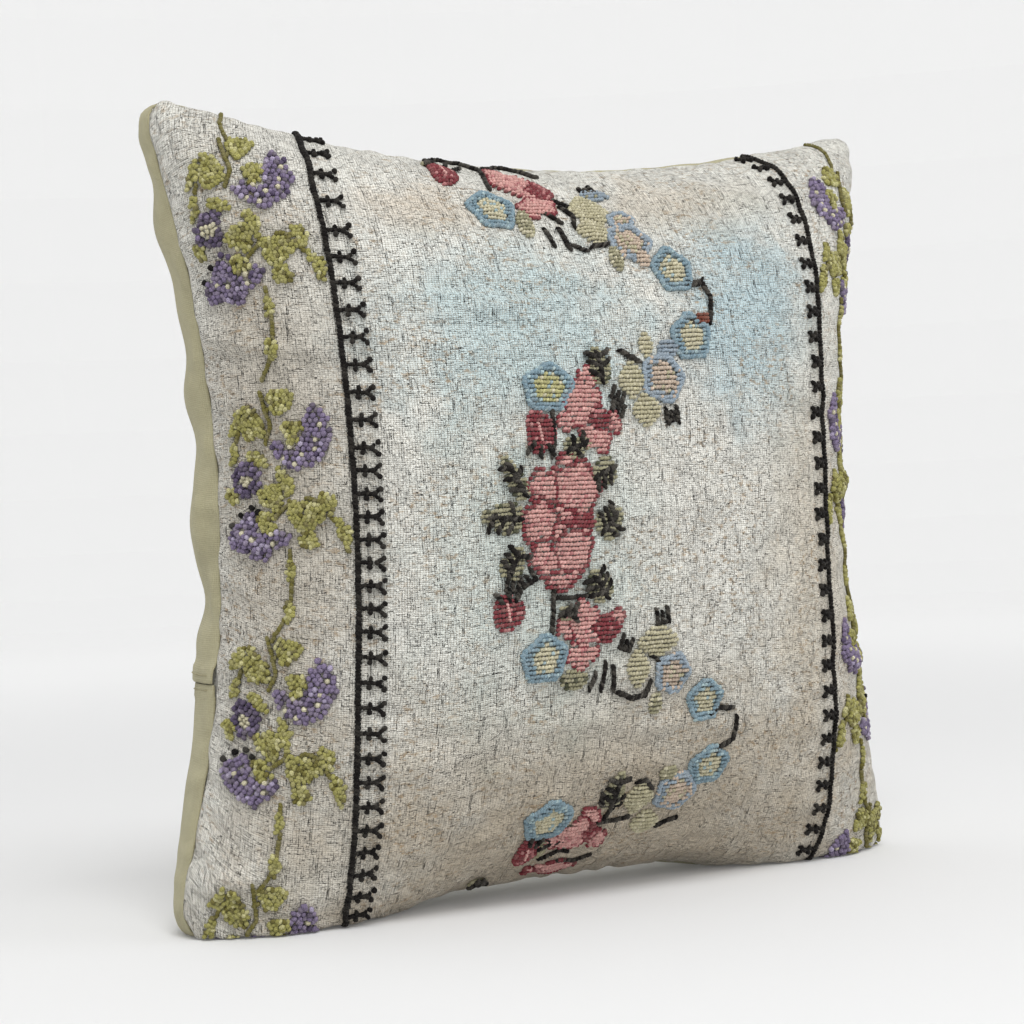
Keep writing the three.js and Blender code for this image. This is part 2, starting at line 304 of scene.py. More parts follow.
# Cloth panels ---------------------------------------------------------------------------------
@dataclass
class ClothPanel:
    """A panel of the cover, cut flat and swollen by the filling."""

    name: str
    form: PillowForm
    face: Face
    low: Callable[[Array], Array]
    high: Callable[[Array], Array]
    columns: int = 97
    rows: int = 97
    fine_columns: int = 209
    fine_rows: int = 209
    thickness: float = 1.2
    pressure: float = 4.0
    stiffness: float = 22.0
    bending: float = 0.6
    frames: int = 26
    cap: float = 13.0
    flat_width: float = field(init=False, default=0.0)
    flat_height: float = field(init=False, default=0.0)
    surface: Surface = field(init=False, default=None)

    def start_shape(self) -> tuple[Array, Array, Array]:
        """Lay the flat cloth on the form, with even lengths along and across.

        Returns:
            The shares of the columns and of the rows, and the points.
        """
        across = np.linspace(-1, 1, self.columns)
        up = np.linspace(0, 1, self.rows)
        # The grid of the back runs the other way, so that its faces look outwards.
        u = np.repeat(np.sin(-self.face.side * across * math.pi / 2)[None], self.rows, 0)
        ease = (0.5 - 0.5 * np.cos(up * math.pi))[:, None]
        v = self.low(u) + (self.high(u) - self.low(u)) * ease
        fine = np.sin(np.linspace(-1, 1, 161) * math.pi / 2)
        wanted = (1 - self.face.side * across) / 2
        for _ in range(2):
            for j in range(self.rows):
                row = self.form.point(fine[None], v[j][:, None], self.face)
                run = np.cumsum(np.linalg.norm(np.diff(row, axis=1), axis=-1), axis=1)
                run = np.concatenate([np.zeros((len(run), 1)), run], 1)
                u[j] = [np.interp(w * r[-1], r, fine) for w, r in zip(wanted, run)]
            for i in range(self.columns):
                low, high = self.low(u[:, i]), self.high(u[:, i])
                steps = low[:, None] + (high - low)[:, None] * (fine[None] + 1) / 2
                line = self.form.point(u[:, i][:, None], steps, self.face)
                run = np.cumsum(np.linalg.norm(np.diff(line, axis=1), axis=-1), axis=1)
                run = np.concatenate([np.zeros((len(run), 1)), run], 1)
                v[:, i] = [np.interp(w * r[-1], r, s) for w, r, s in zip(up, run, steps)]
        v[0], v[-1] = self.low(u[0]), self.high(u[-1])
        return across, up, self.form.point(u, v, self.face)

    def grid_object(self, name: str, columns: int, rows: int) -> tuple[bpy.types.Object, Array, Array]:
        """Add a flat grid.

        Args:
            name: The object's name.
            columns: Points across.
            rows: Points up.

        Returns:
            The object, and the column and the row of each of its vertices.
        """
        deselect_all()
        bpy.ops.mesh.primitive_grid_add(x_subdivisions=columns - 1, y_subdivisions=rows - 1, size=2)
        obj = bpy.context.object
        obj.name = name
        places = vertex_places(obj.data)
        i = np.round((places[:, 0] + 1) / 2 * (columns - 1)).astype(int)
        j = np.round((places[:, 1] + 1) / 2 * (rows - 1)).astype(int)
        return obj, i, j

    def swell(self) -> None:
        """Simulate the cloth from its flat cut, and keep the swollen surface."""
        across, up, start = self.start_shape()
        self.flat_width = float(lengths_along(start, 1).max())
        self.flat_height = float(lengths_along(start, 0)[self.columns // 2])
        points = start
        points = self.simulated(start)
        move = points - start
        far = np.linalg.norm(move, axis=-1, keepdims=True)
        move *= self.cap * np.tanh(far / self.cap) / np.maximum(far, 1e-6)
        if self.face.side > 0:
            held = self.form.near_zip(start[..., 0], start[..., 2])
            move *= (1 - smooth(0.0, 0.8, held))[..., None]
        LOG.info("%s: moved %.1f mm at most by simulation", self.name, far.max())
        self.surface = Surface(across, up, start + move)

    def simulated(self, start: Array) -> Array:
        """Blow the cloth up with its edges held.

        Args:
            start: The points that it starts from.

        Returns:
            The points that it comes to rest at.
        """
        obj, i, j = self.grid_object("trial_" + self.name, self.columns, self.rows)
        places = (start[j, i] * MM).astype(np.float32)
        obj.data.vertices.foreach_set("co", places.ravel())
        obj.shape_key_add(name="Basis")
        cut = obj.shape_key_add(name="cut")
        flat = np.stack([
            (i / (self.columns - 1) - 0.5) * self.flat_width * MM,
            np.zeros(len(i)),
            (j / (self.rows - 1) - 0.5) * self.flat_height * MM,
        ], -1)
        cut.data.foreach_set("co", flat.astype(np.float32).ravel())
        edge = (i == 0) | (j == 0) | (i == self.columns - 1) | (j == self.rows - 1)
        held = obj.vertex_groups.new(name="seams")
        held.add(np.flatnonzero(edge).tolist(), 1.0, "REPLACE")
        modifier = obj.modifiers.new("cloth", "CLOTH")
        settings = modifier.settings
        settings.quality = 6
        settings.mass = 0.25
        settings.tension_stiffness = self.stiffness
        settings.compression_stiffness = self.stiffness
        settings.shear_stiffness = self.stiffness / 4
        settings.bending_stiffness = self.bending
        settings.tension_damping = settings.compression_damping = 8.0
        settings.vertex_group_mass = held.name
        settings.pin_stiffness = 1.0
        settings.use_pressure = True
        settings.uniform_pressure_force = self.pressure
        settings.rest_shape_key = cut
        settings.effector_weights.gravity = 0.0
        modifier.collision_settings.use_collision = False
        modifier.point_cache.frame_start = 1
        modifier.point_cache.frame_end = self.frames
        scene = bpy.context.scene
        for number in range(1, self.frames + 1):
            scene.frame_set(number)
        evaluated = obj.evaluated_get(bpy.context.evaluated_depsgraph_get())
        moved = vertex_places(evaluated.data) / MM
        scene.frame_set(1)
        bpy.data.objects.remove(obj)
        points = np.zeros_like(start)
        points[j, i] = moved
        return points

    def refine(self, relief: Callable[[Array, Array, Array], Array], groove: float = 1.8) -> None:
        """Make the surface finer, press its creases in and sink its seams.

        Args:
            relief: Gives how far each point lifts, from its shares across and up and its place.
            groove: How far the cloth turns in at the seams.
        """
        across = crowded(self.fine_columns, 0.55)
        up = (crowded(self.fine_rows, 0.55) + 1) / 2
        a, b = np.meshgrid(across, up)
        points = self.surface.at(a, b)
        points = points + grid_normals(points) * relief(a, b, points)[..., None]
        from_seam = (1 - np.abs(a)) * self.flat_width / 2
        if self.low(np.zeros(1))[0] <= -1:
            from_seam = np.minimum(from_seam, b * self.flat_height)
        if self.high(np.zeros(1))[0] >= 1:
            from_seam = np.minimum(from_seam, (1 - b) * self.flat_height)
        centre = np.array([0.0, 0.0, self.form.half_height])
        inwards = (centre - points) * np.array([1.0, 0.0, 1.0])
        at_corner = 1 - (np.abs(a) * np.abs(2 * b - 1)) ** 10
        points = points + unit(inwards) * (groove * at_corner * np.exp(-((from_seam / 3.2) ** 2)))[..., None]
        points[..., 2] = np.maximum(points[..., 2], 0.0)
        self.surface = Surface(across, up, points)

    def build(self) -> bpy.types.Object:
        """Make the panel's mesh, with its own thickness and the flat cloth's coordinates."""
        columns, rows = len(self.surface.across), len(self.surface.up)
        obj, i, j = self.grid_object(self.name, columns, rows)
        obj.data.vertices.foreach_set("co", (self.surface.points[j, i] * MM).astype(np.float32).ravel())
        loops = np.zeros(len(obj.data.loops), np.int32)
        obj.data.loops.foreach_get("vertex_index", loops)
        flat_x = self.surface.across[i] * self.flat_width / 2 * MM
        flat_y = (self.surface.up[j] - 0.5) * self.flat_height * MM
        uv = np.stack([flat_x[loops], flat_y[loops]], -1)
        layer = obj.data.uv_layers.active or obj.data.uv_layers.new(name="cloth")
        layer.data.foreach_set("uv", uv.astype(np.float32).ravel())
        obj.data.update()
        apply_modifier(obj, "SOLIDIFY", thickness=self.thickness * MM, offset=-1.0)
        return obj


# Relief of the panels -------------------------------------------------------------------------
def ridge(distance: Array, width: float) -> Array:
    """Give a rounded ridge of that half width across a distance."""
    return np.exp(-((distance / width) ** 2))


def wavy(x: Array, seed: int, waves: int, shortest: float, longest: float) -> Array:
    """Give an uneven line made of sine waves.

    Args:
        x: Places along the line.
        seed: Picks the waves.
        waves: How many.
        shortest: The shortest wave's length, in the unit of x.
        longest: The longest wave's length.

    Returns:
        The heights, mostly between -1 and 1.
    """
    random = np.random.default_rng(seed)
    total = np.zeros_like(np.asarray(x, float))
    for _ in range(waves):
        length = math.exp(random.uniform(math.log(shortest), math.log(longest)))
        total = total + np.sin(2 * math.pi * (x / length + random.random()))
    return total / math.sqrt(waves)


def lumpy(x: Array, y: Array, seed: int, waves: int, shortest: float, longest: float) -> Array:
    """Give an uneven surface made of crossing sine waves, mostly between -1 and 1."""
    random = np.random.default_rng(seed)
    total = np.zeros_like(np.asarray(x, float))
    for _ in range(waves):
        length = math.exp(random.uniform(math.log(shortest), math.log(longest)))
        turn = random.uniform(0, math.pi)
        along = x * math.cos(turn) + y * math.sin(turn)
        total = total + np.sin(2 * math.pi * (along / length + random.random()))
    return total / math.sqrt(waves)


@dataclass(frozen=True)
class Fold:
    """A crease pressed into the cloth, between two points of the pattern sheet."""

    start: Point
    end: Point
    height: float
    width: float
    sway: float = 2.0
    press: float = 2.2
    spread: float = 0.8

    def relief(self, x: Array, y: Array, seed: int) -> Array:
        """Give how far the cloth lifts at places on the pattern sheet."""
        run = np.array(self.end) - np.array(self.start)
        length = float(np.hypot(*run))
        along = ((x - self.start[0]) * run[0] + (y - self.start[1]) * run[1]) / length
        beside = ((y - self.start[1]) * run[0] - (x - self.start[0]) * run[1]) / length
        beside = beside + self.sway * wavy(along, seed, 3, 30, 90)
        ends = smooth(-12, 18, along) * (1 - smooth(length - 18, length + 12, along))
        return self.press * self.height * ends * ridge(beside, self.width + self.spread)


@dataclass(frozen=True)
class Pattern:
    """The sheet that the embroidery is drawn on: millimetres from its middle and its lower edge."""

    width: float = 480.0
    height: float = 470.0

    def across(self, x: Array | float) -> Array:
        """Turn x on the sheet into a share across the cloth."""
        return np.asarray(x, float) / (self.width / 2)

    def up(self, y: Array | float) -> Array:
        """Turn y on the sheet into a share up the cloth."""
        return np.asarray(y, float) / self.height


PATTERN = Pattern()

FRONT_FOLDS = (
    Fold((-118, 350), (50, 347), 1.3, 2.6),
    Fold((-112, 342), (45, 340), 1.0, 2.2),
    Fold((-115, 357), (20, 355), -0.8, 3.0),
    Fold((-238, 392), (-168, 388), 1.2, 3.0),
    Fold((-236, 331), (-160, 322), 1.4, 3.0),
    Fold((-150, 328), (-60, 322), 0.7, 3.0),
    Fold((-236, 150), (-176, 190), 1.5, 5.0),
    Fold((-238, 208), (-150, 262), 1.6, 6.0),
    Fold((-236, 22), (-196, 62), 2.0, 5.0),
    Fold((-60, 128), (70, 118), 0.8, 4.0),
    Fold((-90, 52), (-20, 96), 0.9, 4.0),
    Fold((96, 300), (150, 296), 0.7, 3.0),
    Fold((160, 250), (236, 236), 1.4, 5.0),
    Fold((168, 150), (236, 122), 1.4, 5.0),
)


def front_relief(a: Array, b: Array, points: Array) -> Array:
    """Give the creases, gathers and lumps of the front panel."""
    x, y = a * PATTERN.width / 2, b * PATTERN.height
    lift = 0.6 * lumpy(x, y, 11, 16, 15, 55)
    for seed, fold in enumerate(FRONT_FOLDS):
        lift = lift + fold.relief(x, y, 100 + seed)
    from_side = (1 - np.abs(a)) * PATTERN.width / 2
    side_gather = wavy(y + 0.15 * from_side, 21, 7, 11, 34) * (1 - smooth(2, 46, from_side))
    top_gather = wavy(x, 22, 7, 12, 36) * (1 - smooth(2, 30, np.minimum(y, PATTERN.height - y)))
    return lift + 0.8 * side_gather * smooth(0, 5, from_side) + 0.4 * top_gather


def back_relief(a: Array, b: Array, points: Array) -> Array:
    """Give the bulges of the sides, which are bigger on the left, and the gathers of the canvas back."""
    x, z = points[..., 0], points[..., 2]
    from_side = (1 - np.abs(a)) * PATTERN.width / 2
    beside = smooth(3, 22, from_side) * (1 - smooth(60, 120, from_side))
    bulges = 5.0 * ridge(z - 216, 26) - 3.6 * ridge(z - 178, 15) + 2.6 * ridge(z - 150, 14)
    bulges = bulges + 2.4 * wavy(z, 31, 4, 45, 95) * smooth(225, 262, z)
    bulges = np.where(x < 0, bulges, 3.2 * wavy(z, 33, 4, 50, 110))
    gathers = wavy(z, 35, 6, 12, 30) * smooth(0, 4, from_side) * (1 - smooth(3, 34, from_side))
    calm = 1 - ridge(z - 132, 20)
    return (bulges * beside + 0.6 * gathers + 0.4 * lumpy(x, z, 37, 12, 24, 70)) * calm


@dataclass(frozen=True)
class Hem:
    """The folded edge beside the zip: twice as thick as the cloth, and rounded at its fold."""

    fold_depth: float = 9.0
    extra: float = 0.7
    overlap: float = 1.6

    def relief(self, from_hem: Array, x: Array, upper: bool) -> Array:
        """Give how far the hem lifts the cloth.

        Args:
            from_hem: Distance from the fold, along the cloth.
            x: Place across the pillow.
            upper: True for the panel above the zip, which laps over the other at its ends.

        Returns:
            The lift.
        """
        lift = self.extra * (1 - smooth(self.fold_depth, self.fold_depth + 1.5, from_hem))
        lift = lift - 0.7 * ridge(from_hem, 0.9)
        if upper:
            lapped = smooth(172, 190, np.abs(x)) * (1 - smooth(6, 16, from_hem))
            lift = lift + self.overlap * lapped
        return lift


# Shader nodes ---------------------------------------------------------------------------------
Feed = bpy.types.NodeSocket | float | tuple


class Nodes:
    """Adds and joins the nodes of one shader tree."""

    def __init__(self, tree: bpy.types.NodeTree) -> None:
        """Keep the tree."""
        self.tree = tree

    def feed(self, socket: bpy.types.NodeSocket, value: Feed) -> None:
        """Join a socket to another, or give it a constant."""
        if isinstance(value, bpy.types.NodeSocket):
            self.tree.links.new(value, socket)
        else:
            socket.default_value = value

    def add(
        self, kind: str, inputs: dict[str | int, Feed] | None = None, **settings: object
    ) -> bpy.types.Node:
        """Add a node.

        Args:
            kind: The node's type, without its ShaderNode prefix.
            inputs: What feeds its sockets, by name or number.
            **settings: Its settings, by name.

        Returns:
            The node.
        """
        node = self.tree.nodes.new("ShaderNode" + kind)
        for name, value in settings.items():
            setattr(node, name, value)
        for key, value in (inputs or {}).items():
            self.feed(node.inputs[key], value)
        return node

    def math(self, operation: str, *values: Feed, clamp: bool = False) -> bpy.types.NodeSocket:
        """Add a Math node and give its result."""
        node = self.add("Math", dict(enumerate(values)), operation=operation, use_clamp=clamp)
        return node.outputs[0]

    def vector(self, operation: str, *values: Feed) -> bpy.types.NodeSocket:
        """Add a Vector Math node and give its result."""
        return self.add("VectorMath", dict(enumerate(values)), operation=operation).outputs[0]

    def scaled(self, vector: Feed, scale: Feed) -> bpy.types.NodeSocket:
        """Multiply a vector by a number."""
        return self.add("VectorMath", {0: vector, "Scale": scale}, operation="SCALE").outputs[0]

    def mix(self, share: Feed, low: Feed, high: Feed, blend: str = "MIX") -> bpy.types.NodeSocket:
        """Mix two colours."""
        node = self.add("Mix", {0: share, 6: low, 7: high}, data_type="RGBA", blend_type=blend)
        return node.outputs[2]

    def ramp(
        self, value: Feed, low: float, high: float, to_low: float = 0.0, to_high: float = 1.0
    ) -> bpy.types.NodeSocket:
        """Map a value smoothly from one range to another."""
        inputs = {0: value, 1: low, 2: high, 3: to_low, 4: to_high}
        return self.add("MapRange", inputs, interpolation_type="SMOOTHSTEP").outputs[0]

    def noise(
        self, place: Feed, scale: float, detail: float = 2.0, roughness: float = 0.5
    ) -> bpy.types.NodeSocket:
        """Add a Noise node and give its value."""
        inputs = {"Vector": place, "Scale": scale, "Detail": detail, "Roughness": roughness}
        return self.add("TexNoise", inputs).outputs[0]

    def group(self, group: bpy.types.NodeTree, inputs: dict[str, Feed]) -> bpy.types.Node:
        """Place a node group."""
        node = self.tree.nodes.new("ShaderNodeGroup")
        node.node_tree = group
        for key, value in inputs.items():
            self.feed(node.inputs[key], value)
        return node


def four(colour: Colour) -> tuple[float, float, float, float]:
    """Add a full alpha to a colour."""
    return (*colour, 1.0)


def new_group(name: str, inputs: dict[str, str], outputs: dict[str, str]) -> tuple[Nodes, dict, dict]:
    """Start a shader node group.

    Args:
        name: Its name.
        inputs: The kinds of its inputs, by name: Float, Vector or Color.
        outputs: The kinds of its outputs, by name.

    Returns:
        Its nodes, its inputs' sockets and its outputs' sockets, by name.
    """
    tree = bpy.data.node_groups.new(name, "ShaderNodeTree")
    for way, sockets in (("INPUT", inputs), ("OUTPUT", outputs)):
        for key, kind in sockets.items():
            tree.interface.new_socket(key, in_out=way, socket_type="NodeSocket" + kind)
    entry = tree.nodes.new("NodeGroupInput")
    leave = tree.nodes.new("NodeGroupOutput")
    given = {key: entry.outputs[key] for key in inputs}
    result = {key: leave.inputs[key] for key in outputs}
    return Nodes(tree), given, result


def build_weave_group() -> bpy.types.NodeTree:
    """Build the plain weave: two sets of round threads that pass over and under each other."""
    nodes, given, result = new_group(
        "plain_weave",
        {
            "Place": "Vector", "Warp pitch": "Float", "Weft pitch": "Float", "Wander": "Float",
            "Slub": "Float",
        },
        {"Height": "Float", "Tone": "Float"},
    )
    drift = nodes.add("TexNoise", {"Vector": given["Place"], "Scale": 0.09, "Detail": 4.0})
    push = nodes.vector("SUBTRACT", drift.outputs[1], (0.5, 0.5, 0.5))
    place = nodes.vector("ADD", given["Place"], nodes.scaled(push, given["Wander"]))
    parts = nodes.add("SeparateXYZ", {0: place})
    runs = [nodes.math("DIVIDE", parts.outputs[k], given[("Warp pitch", "Weft pitch")[k]]) for k in (0, 1)]
    numbers = [nodes.math("FLOOR", run) for run in runs]
    heights, tones = [], []
    for own, other, sign in ((0, 1, 1.0), (1, 0, -1.0)):
        inside = nodes.math("SUBTRACT", runs[own], numbers[own])
        shape = nodes.math("POWER", nodes.math("SINE", nodes.math("MULTIPLY", inside, math.pi)), 0.6)
        phase = nodes.math("ADD", numbers[own], nodes.math("SUBTRACT", runs[other], 0.5))
        swing = nodes.math("COSINE", nodes.math("MULTIPLY", phase, math.pi))
        over = nodes.math("MULTIPLY_ADD", swing, 0.42 * sign, 0.58)
        along = nodes.add("CombineXYZ", {
            0: nodes.math("MULTIPLY_ADD", numbers[own], 3.7, 91.0 * own),
            1: nodes.math("MULTIPLY", runs[other], 0.16),
        })
        tone = nodes.noise(along.outputs[0], 1.0, 2.0, 0.6)
        tones.append(tone)
        thick = nodes.math("MULTIPLY_ADD", tone, 1.1, 0.42)
        heights.append(nodes.math("MULTIPLY", nodes.math("MULTIPLY", shape, over), thick))
    height = nodes.math("MAXIMUM", heights[0], heights[1])
    cell = nodes.add("CombineXYZ", {0: numbers[0], 1: numbers[1]}).outputs[0]
    bead = nodes.add("TexWhiteNoise", {"Vector": cell}, noise_dimensions="2D").outputs[0]
    slub = nodes.noise(given["Place"], 0.55, 4.0, 0.65)
    thin = nodes.math("MULTIPLY", nodes.math("SUBTRACT", slub, 0.5), given["Slub"])
    nodes.feed(result["Height"], nodes.math("ADD", height, thin))
    nodes.feed(result["Tone"], nodes.math("MULTIPLY_ADD", bead, 0.6, nodes.math("MULTIPLY", tones[1], 0.4)))
    return nodes.tree


def build_crinkle_group() -> bpy.types.NodeTree:
    """Build the small sharp creases of old, washed cloth."""
    nodes, given, result = new_group("crinkle", {"Place": "Vector"}, {"Height": "Float"})
    heights = []
    for scale, stretch in ((0.06, (1.0, 0.55, 1.0)), (0.16, (0.6, 1.0, 1.0))):
        value = nodes.noise(nodes.vector("MULTIPLY", given["Place"], stretch), scale, 3.0, 0.55)
        fold = nodes.math("PINGPONG", nodes.math("MULTIPLY", value, 2.0), 1.0)
        heights.append(nodes.math("POWER", fold, 5.0))
    nodes.feed(result["Height"], nodes.math("MULTIPLY_ADD", heights[1], 0.45, heights[0]))
    return nodes.tree


def build_stain_group() -> bpy.types.NodeTree:
    """Build a ragged, soft-edged stain about a point of the cloth."""
    nodes, given, result = new_group(
        "stain", {"Place": "Vector", "Centre": "Vector", "Reach": "Vector", "Ragged": "Float"},
        {"Mask": "Float"}
    )
    away = nodes.vector("DIVIDE", nodes.vector("SUBTRACT", given["Place"], given["Centre"]), given["Reach"])
    far = nodes.add("VectorMath", {0: away}, operation="LENGTH").outputs["Value"]
    rough = nodes.math("SUBTRACT", nodes.noise(given["Place"], 0.035, 5.0, 0.62), 0.5)
    edge = nodes.math("MULTIPLY_ADD", rough, given["Ragged"], far)
    nodes.feed(result["Mask"], nodes.ramp(edge, 1.0, 0.15))
    return nodes.tree


def build_fibre_group() -> bpy.types.NodeTree:
    """Build the fine fuzz of spun fibre: a tone and a height, from the place in millimetres."""
    nodes, given, result = new_group("spun_fibre", {"Place": "Vector"}, {"Tone": "Float", "Height": "Float"})
    coarse = nodes.noise(given["Place"], 1.6, 2.0, 0.6)
    fine = nodes.noise(given["Place"], 6.5, 3.0, 0.65)
    nodes.feed(
        result["Tone"],
        nodes.ramp(nodes.math("MULTIPLY_ADD", fine, 0.5, nodes.math("MULTIPLY", coarse, 0.5)), 0.3, 0.7),
    )
    nodes.feed(result["Height"], fine)
    return nodes.tree


@dataclass(frozen=True)
class SharedEffects:
    """The node groups that several materials use."""

    weave: bpy.types.NodeTree
    crinkle: bpy.types.NodeTree
    stain: bpy.types.NodeTree
    fibre: bpy.types.NodeTree

    @classmethod
    def build(cls) -> "SharedEffects":
        """Build every group once."""
        return cls(build_weave_group(), build_crinkle_group(), build_stain_group(), build_fibre_group())


def new_material(name: str) -> tuple[bpy.types.Material, Nodes, bpy.types.Node]:
    """Start a material with its own principled shader."""
    material = bpy.data.materials.new(name)
    material.use_nodes = True
    nodes = Nodes(material.node_tree)
    shader = next(n for n in material.node_tree.nodes if n.type == "BSDF_PRINCIPLED")
    return material, nodes, shader


@dataclass(frozen=True)
class Stain:
    """A patch of another tint on the linen, placed on the flat cloth in millimetres."""

    centre: Point
    reach: Point
    tint: Colour
    strength: float
    ragged: float = 1.0


@dataclass(frozen=True)
class WovenCloth:
    """A plain-weave cloth, read along the flat cloth's own coordinates, with painted shade in the gaps
    between its threads.
    """

    name: str
    thread: Colour
    # The gap colour is painted shade that fills the low places between the threads.
    gap: Colour
    warp_pitch: float
    weft_pitch: float
    wander: float
    slub: float
    depth: float
    gap_shade_share: float = 0.9
    tone_share: float = 0.12
    crinkle: float = 0.0
    stains: tuple[Stain, ...] = ()
    speckle: float = 0.0
    sheen: float = 0.1

    def build(self, effects: SharedEffects) -> bpy.types.Material:
        """Build the material."""
        material, nodes, shader = new_material(self.name)
        place = nodes.scaled(nodes.add("TexCoord").outputs["UV"], 1 / MM)
        weave = nodes.group(effects.weave, {
            "Place": place, "Warp pitch": self.warp_pitch, "Weft pitch": self.weft_pitch,
            "Wander": self.wander, "Slub": self.slub,
        })
        height, tone = weave.outputs["Height"], weave.outputs["Tone"]
        faded = four(tuple(c * 0.84 for c in self.thread))
        colour = nodes.mix(
            nodes.ramp(nodes.noise(place, 0.03, 5.0, 0.6), 0.35, 0.7), four(self.thread), faded
        )
        for stain in self.stains:
            mask = nodes.group(effects.stain, {
                "Place": place, "Centre": (*stain.centre, 0.0), "Reach": (*stain.reach, 1.0),
                "Ragged": stain.ragged,
            }).outputs["Mask"]
            colour = nodes.mix(nodes.math("MULTIPLY", mask, stain.strength), colour, four(stain.tint))
        if self.speckle:
            colour = self.speckled(nodes, place, colour)
        shade = nodes.math("MULTIPLY_ADD", tone, 2 * self.tone_share, 1 - self.tone_share)
        colour = nodes.mix(
            1.0, colour, nodes.add("CombineXYZ", {0: shade, 1: shade, 2: shade}).outputs[0], "MULTIPLY"
        )
        # Painted shade: the low places between the threads are darkened towards the gap colour, more in some
        # noisy patches than in others.
        gap = nodes.ramp(height, 0.64, 0.26)
        gap_shade_patches = nodes.ramp(
            nodes.noise(place, 0.07, 4.0, 0.6), 0.3, 0.66, 0.55 * self.gap_shade_share, self.gap_shade_share
        )
        colour = nodes.mix(nodes.math("MULTIPLY", gap, gap_shade_patches), colour, four(self.gap))
        fuzz = nodes.group(effects.fibre, {"Place": place})
        relief = nodes.math("MULTIPLY_ADD", fuzz.outputs["Height"], 0.15, height)
        bump = nodes.add("Bump", {"Height": relief, "Distance": self.depth * MM, "Strength": 1.0})
        if self.crinkle:
            creases = nodes.group(effects.crinkle, {"Place": place}).outputs["Height"]
            pressed = nodes.add("Bump", {"Height": creases, "Distance": self.crinkle * MM, "Strength": 1.0})
            nodes.feed(bump.inputs["Normal"], pressed.outputs[0])
        nodes.feed(shader.inputs["Base Color"], colour)
        nodes.feed(shader.inputs["Normal"], bump.outputs[0])
        shader.inputs["Roughness"].default_value = 0.92
        shader.inputs["Sheen Weight"].default_value = self.sheen
        shader.inputs["Sheen Roughness"].default_value = 0.6
        shader.inputs["Specular IOR Level"].default_value = 0.25
        return material

    def speckled(self, nodes: Nodes, place: Feed, colour: Feed) -> bpy.types.NodeSocket:
        """Scatter small brown and grey specks of husk and old dirt over the colour."""
        spots = nodes.ramp(
            nodes.noise(nodes.vector("MULTIPLY", place, (0.6, 1.0, 1.0)), 0.3, 4.0, 0.7), 0.52, 0.64
        )
        where = nodes.ramp(nodes.noise(place, 0.02, 3.0, 0.6), 0.38, 0.62)
        share = nodes.math("MULTIPLY", nodes.math("MULTIPLY", spots, where), self.speckle)
        return nodes.mix(share, colour, four(linear((158, 132, 98))))


@dataclass(frozen=True)
class WoolYarn:
    """Matt wool in the colours that the stitches carry, with the twist of its two plies and painted shade in
    the valleys between them.
    """

    name: str = "embroidery_wool"
    attribute: str = "wool"
    sheen: float = 0.05
    twist: float = 2.0
    depth: float = 0.28

    def build(self, effects: SharedEffects) -> bpy.types.Material:
        """Build the material."""
        material, nodes, shader = new_material(self.name)
        dyed = nodes.add("Attribute", attribute_name=self.attribute).outputs["Color"]
        coordinates = nodes.add("TexCoord")
        place = nodes.scaled(coordinates.outputs["Object"], 1 / MM)
        fibre = nodes.group(effects.fibre, {"Place": place})
        parts = nodes.add("SeparateXYZ", {0: coordinates.outputs["UV"]})
        turn = nodes.math("ADD", nodes.math("MULTIPLY", parts.outputs[0], self.twist), parts.outputs[1])
        ply = nodes.math("SINE", nodes.math("MULTIPLY", turn, 4 * math.pi))
        ply_shade_mask = nodes.ramp(ply, -0.2, -1.0)
        tone = nodes.math("MULTIPLY_ADD", fibre.outputs["Tone"], 0.5, 0.72)
        worn = nodes.mix(
            1.0, dyed, nodes.add("CombineXYZ", {0: tone, 1: tone, 2: tone}).outputs[0], "MULTIPLY"
        )
        # Painted shade: the valleys between the plies are darkened in the colour, on top of their bump.
        dark = nodes.mix(1.0, worn, (0.5, 0.47, 0.45, 1.0), "MULTIPLY")
        colour = nodes.mix(nodes.math("MULTIPLY", ply_shade_mask, 0.6), worn, dark)
        relief = nodes.math("MULTIPLY_ADD", fibre.outputs["Height"], 0.5, nodes.math("MULTIPLY", ply, 0.3))
        bump = nodes.add("Bump", {"Height": relief, "Distance": self.depth * MM, "Strength": 0.9})
        nodes.feed(shader.inputs["Base Color"], colour)
        nodes.feed(shader.inputs["Normal"], bump.outputs[0])
        shader.inputs["Roughness"].default_value = 0.95
        shader.inputs["Sheen Weight"].default_value = self.sheen
        shader.inputs["Specular IOR Level"].default_value = 0.12
        return material


@dataclass(frozen=True)
class Plated:
    """Dull plate with darker tarnished patches and fine scratches."""

    name: str = "dull_nickel"
    colour: Colour = (0.46, 0.43, 0.38)
    roughness: float = 0.34

    def build(self) -> bpy.types.Material:
        """Build the material."""
        material, nodes, shader = new_material(self.name)
        place = nodes.scaled(nodes.add("TexCoord").outputs["Object"], 1 / MM)
        streaks = nodes.noise(nodes.vector("MULTIPLY", place, (0.4, 3.0, 3.0)), 2.0, 4.0, 0.6)
        tarnish = nodes.ramp(nodes.noise(place, 0.5, 3.0), 0.4, 0.7)
        colour = nodes.mix(tarnish, four(self.colour), four(tuple(c * 0.72 for c in self.colour)))
        nodes.feed(shader.inputs["Base Color"], colour)
        nodes.feed(
            shader.inputs["Roughness"],
            nodes.ramp(streaks, 0.2, 0.9, self.roughness - 0.08, self.roughness + 0.16),
        )
        bump = nodes.add("Bump", {"Height": streaks, "Distance": 0.02 * MM, "Strength": 0.6})
        nodes.feed(shader.inputs["Normal"], bump.outputs[0])
        shader.inputs["Metallic"].default_value = 1.0
        return material


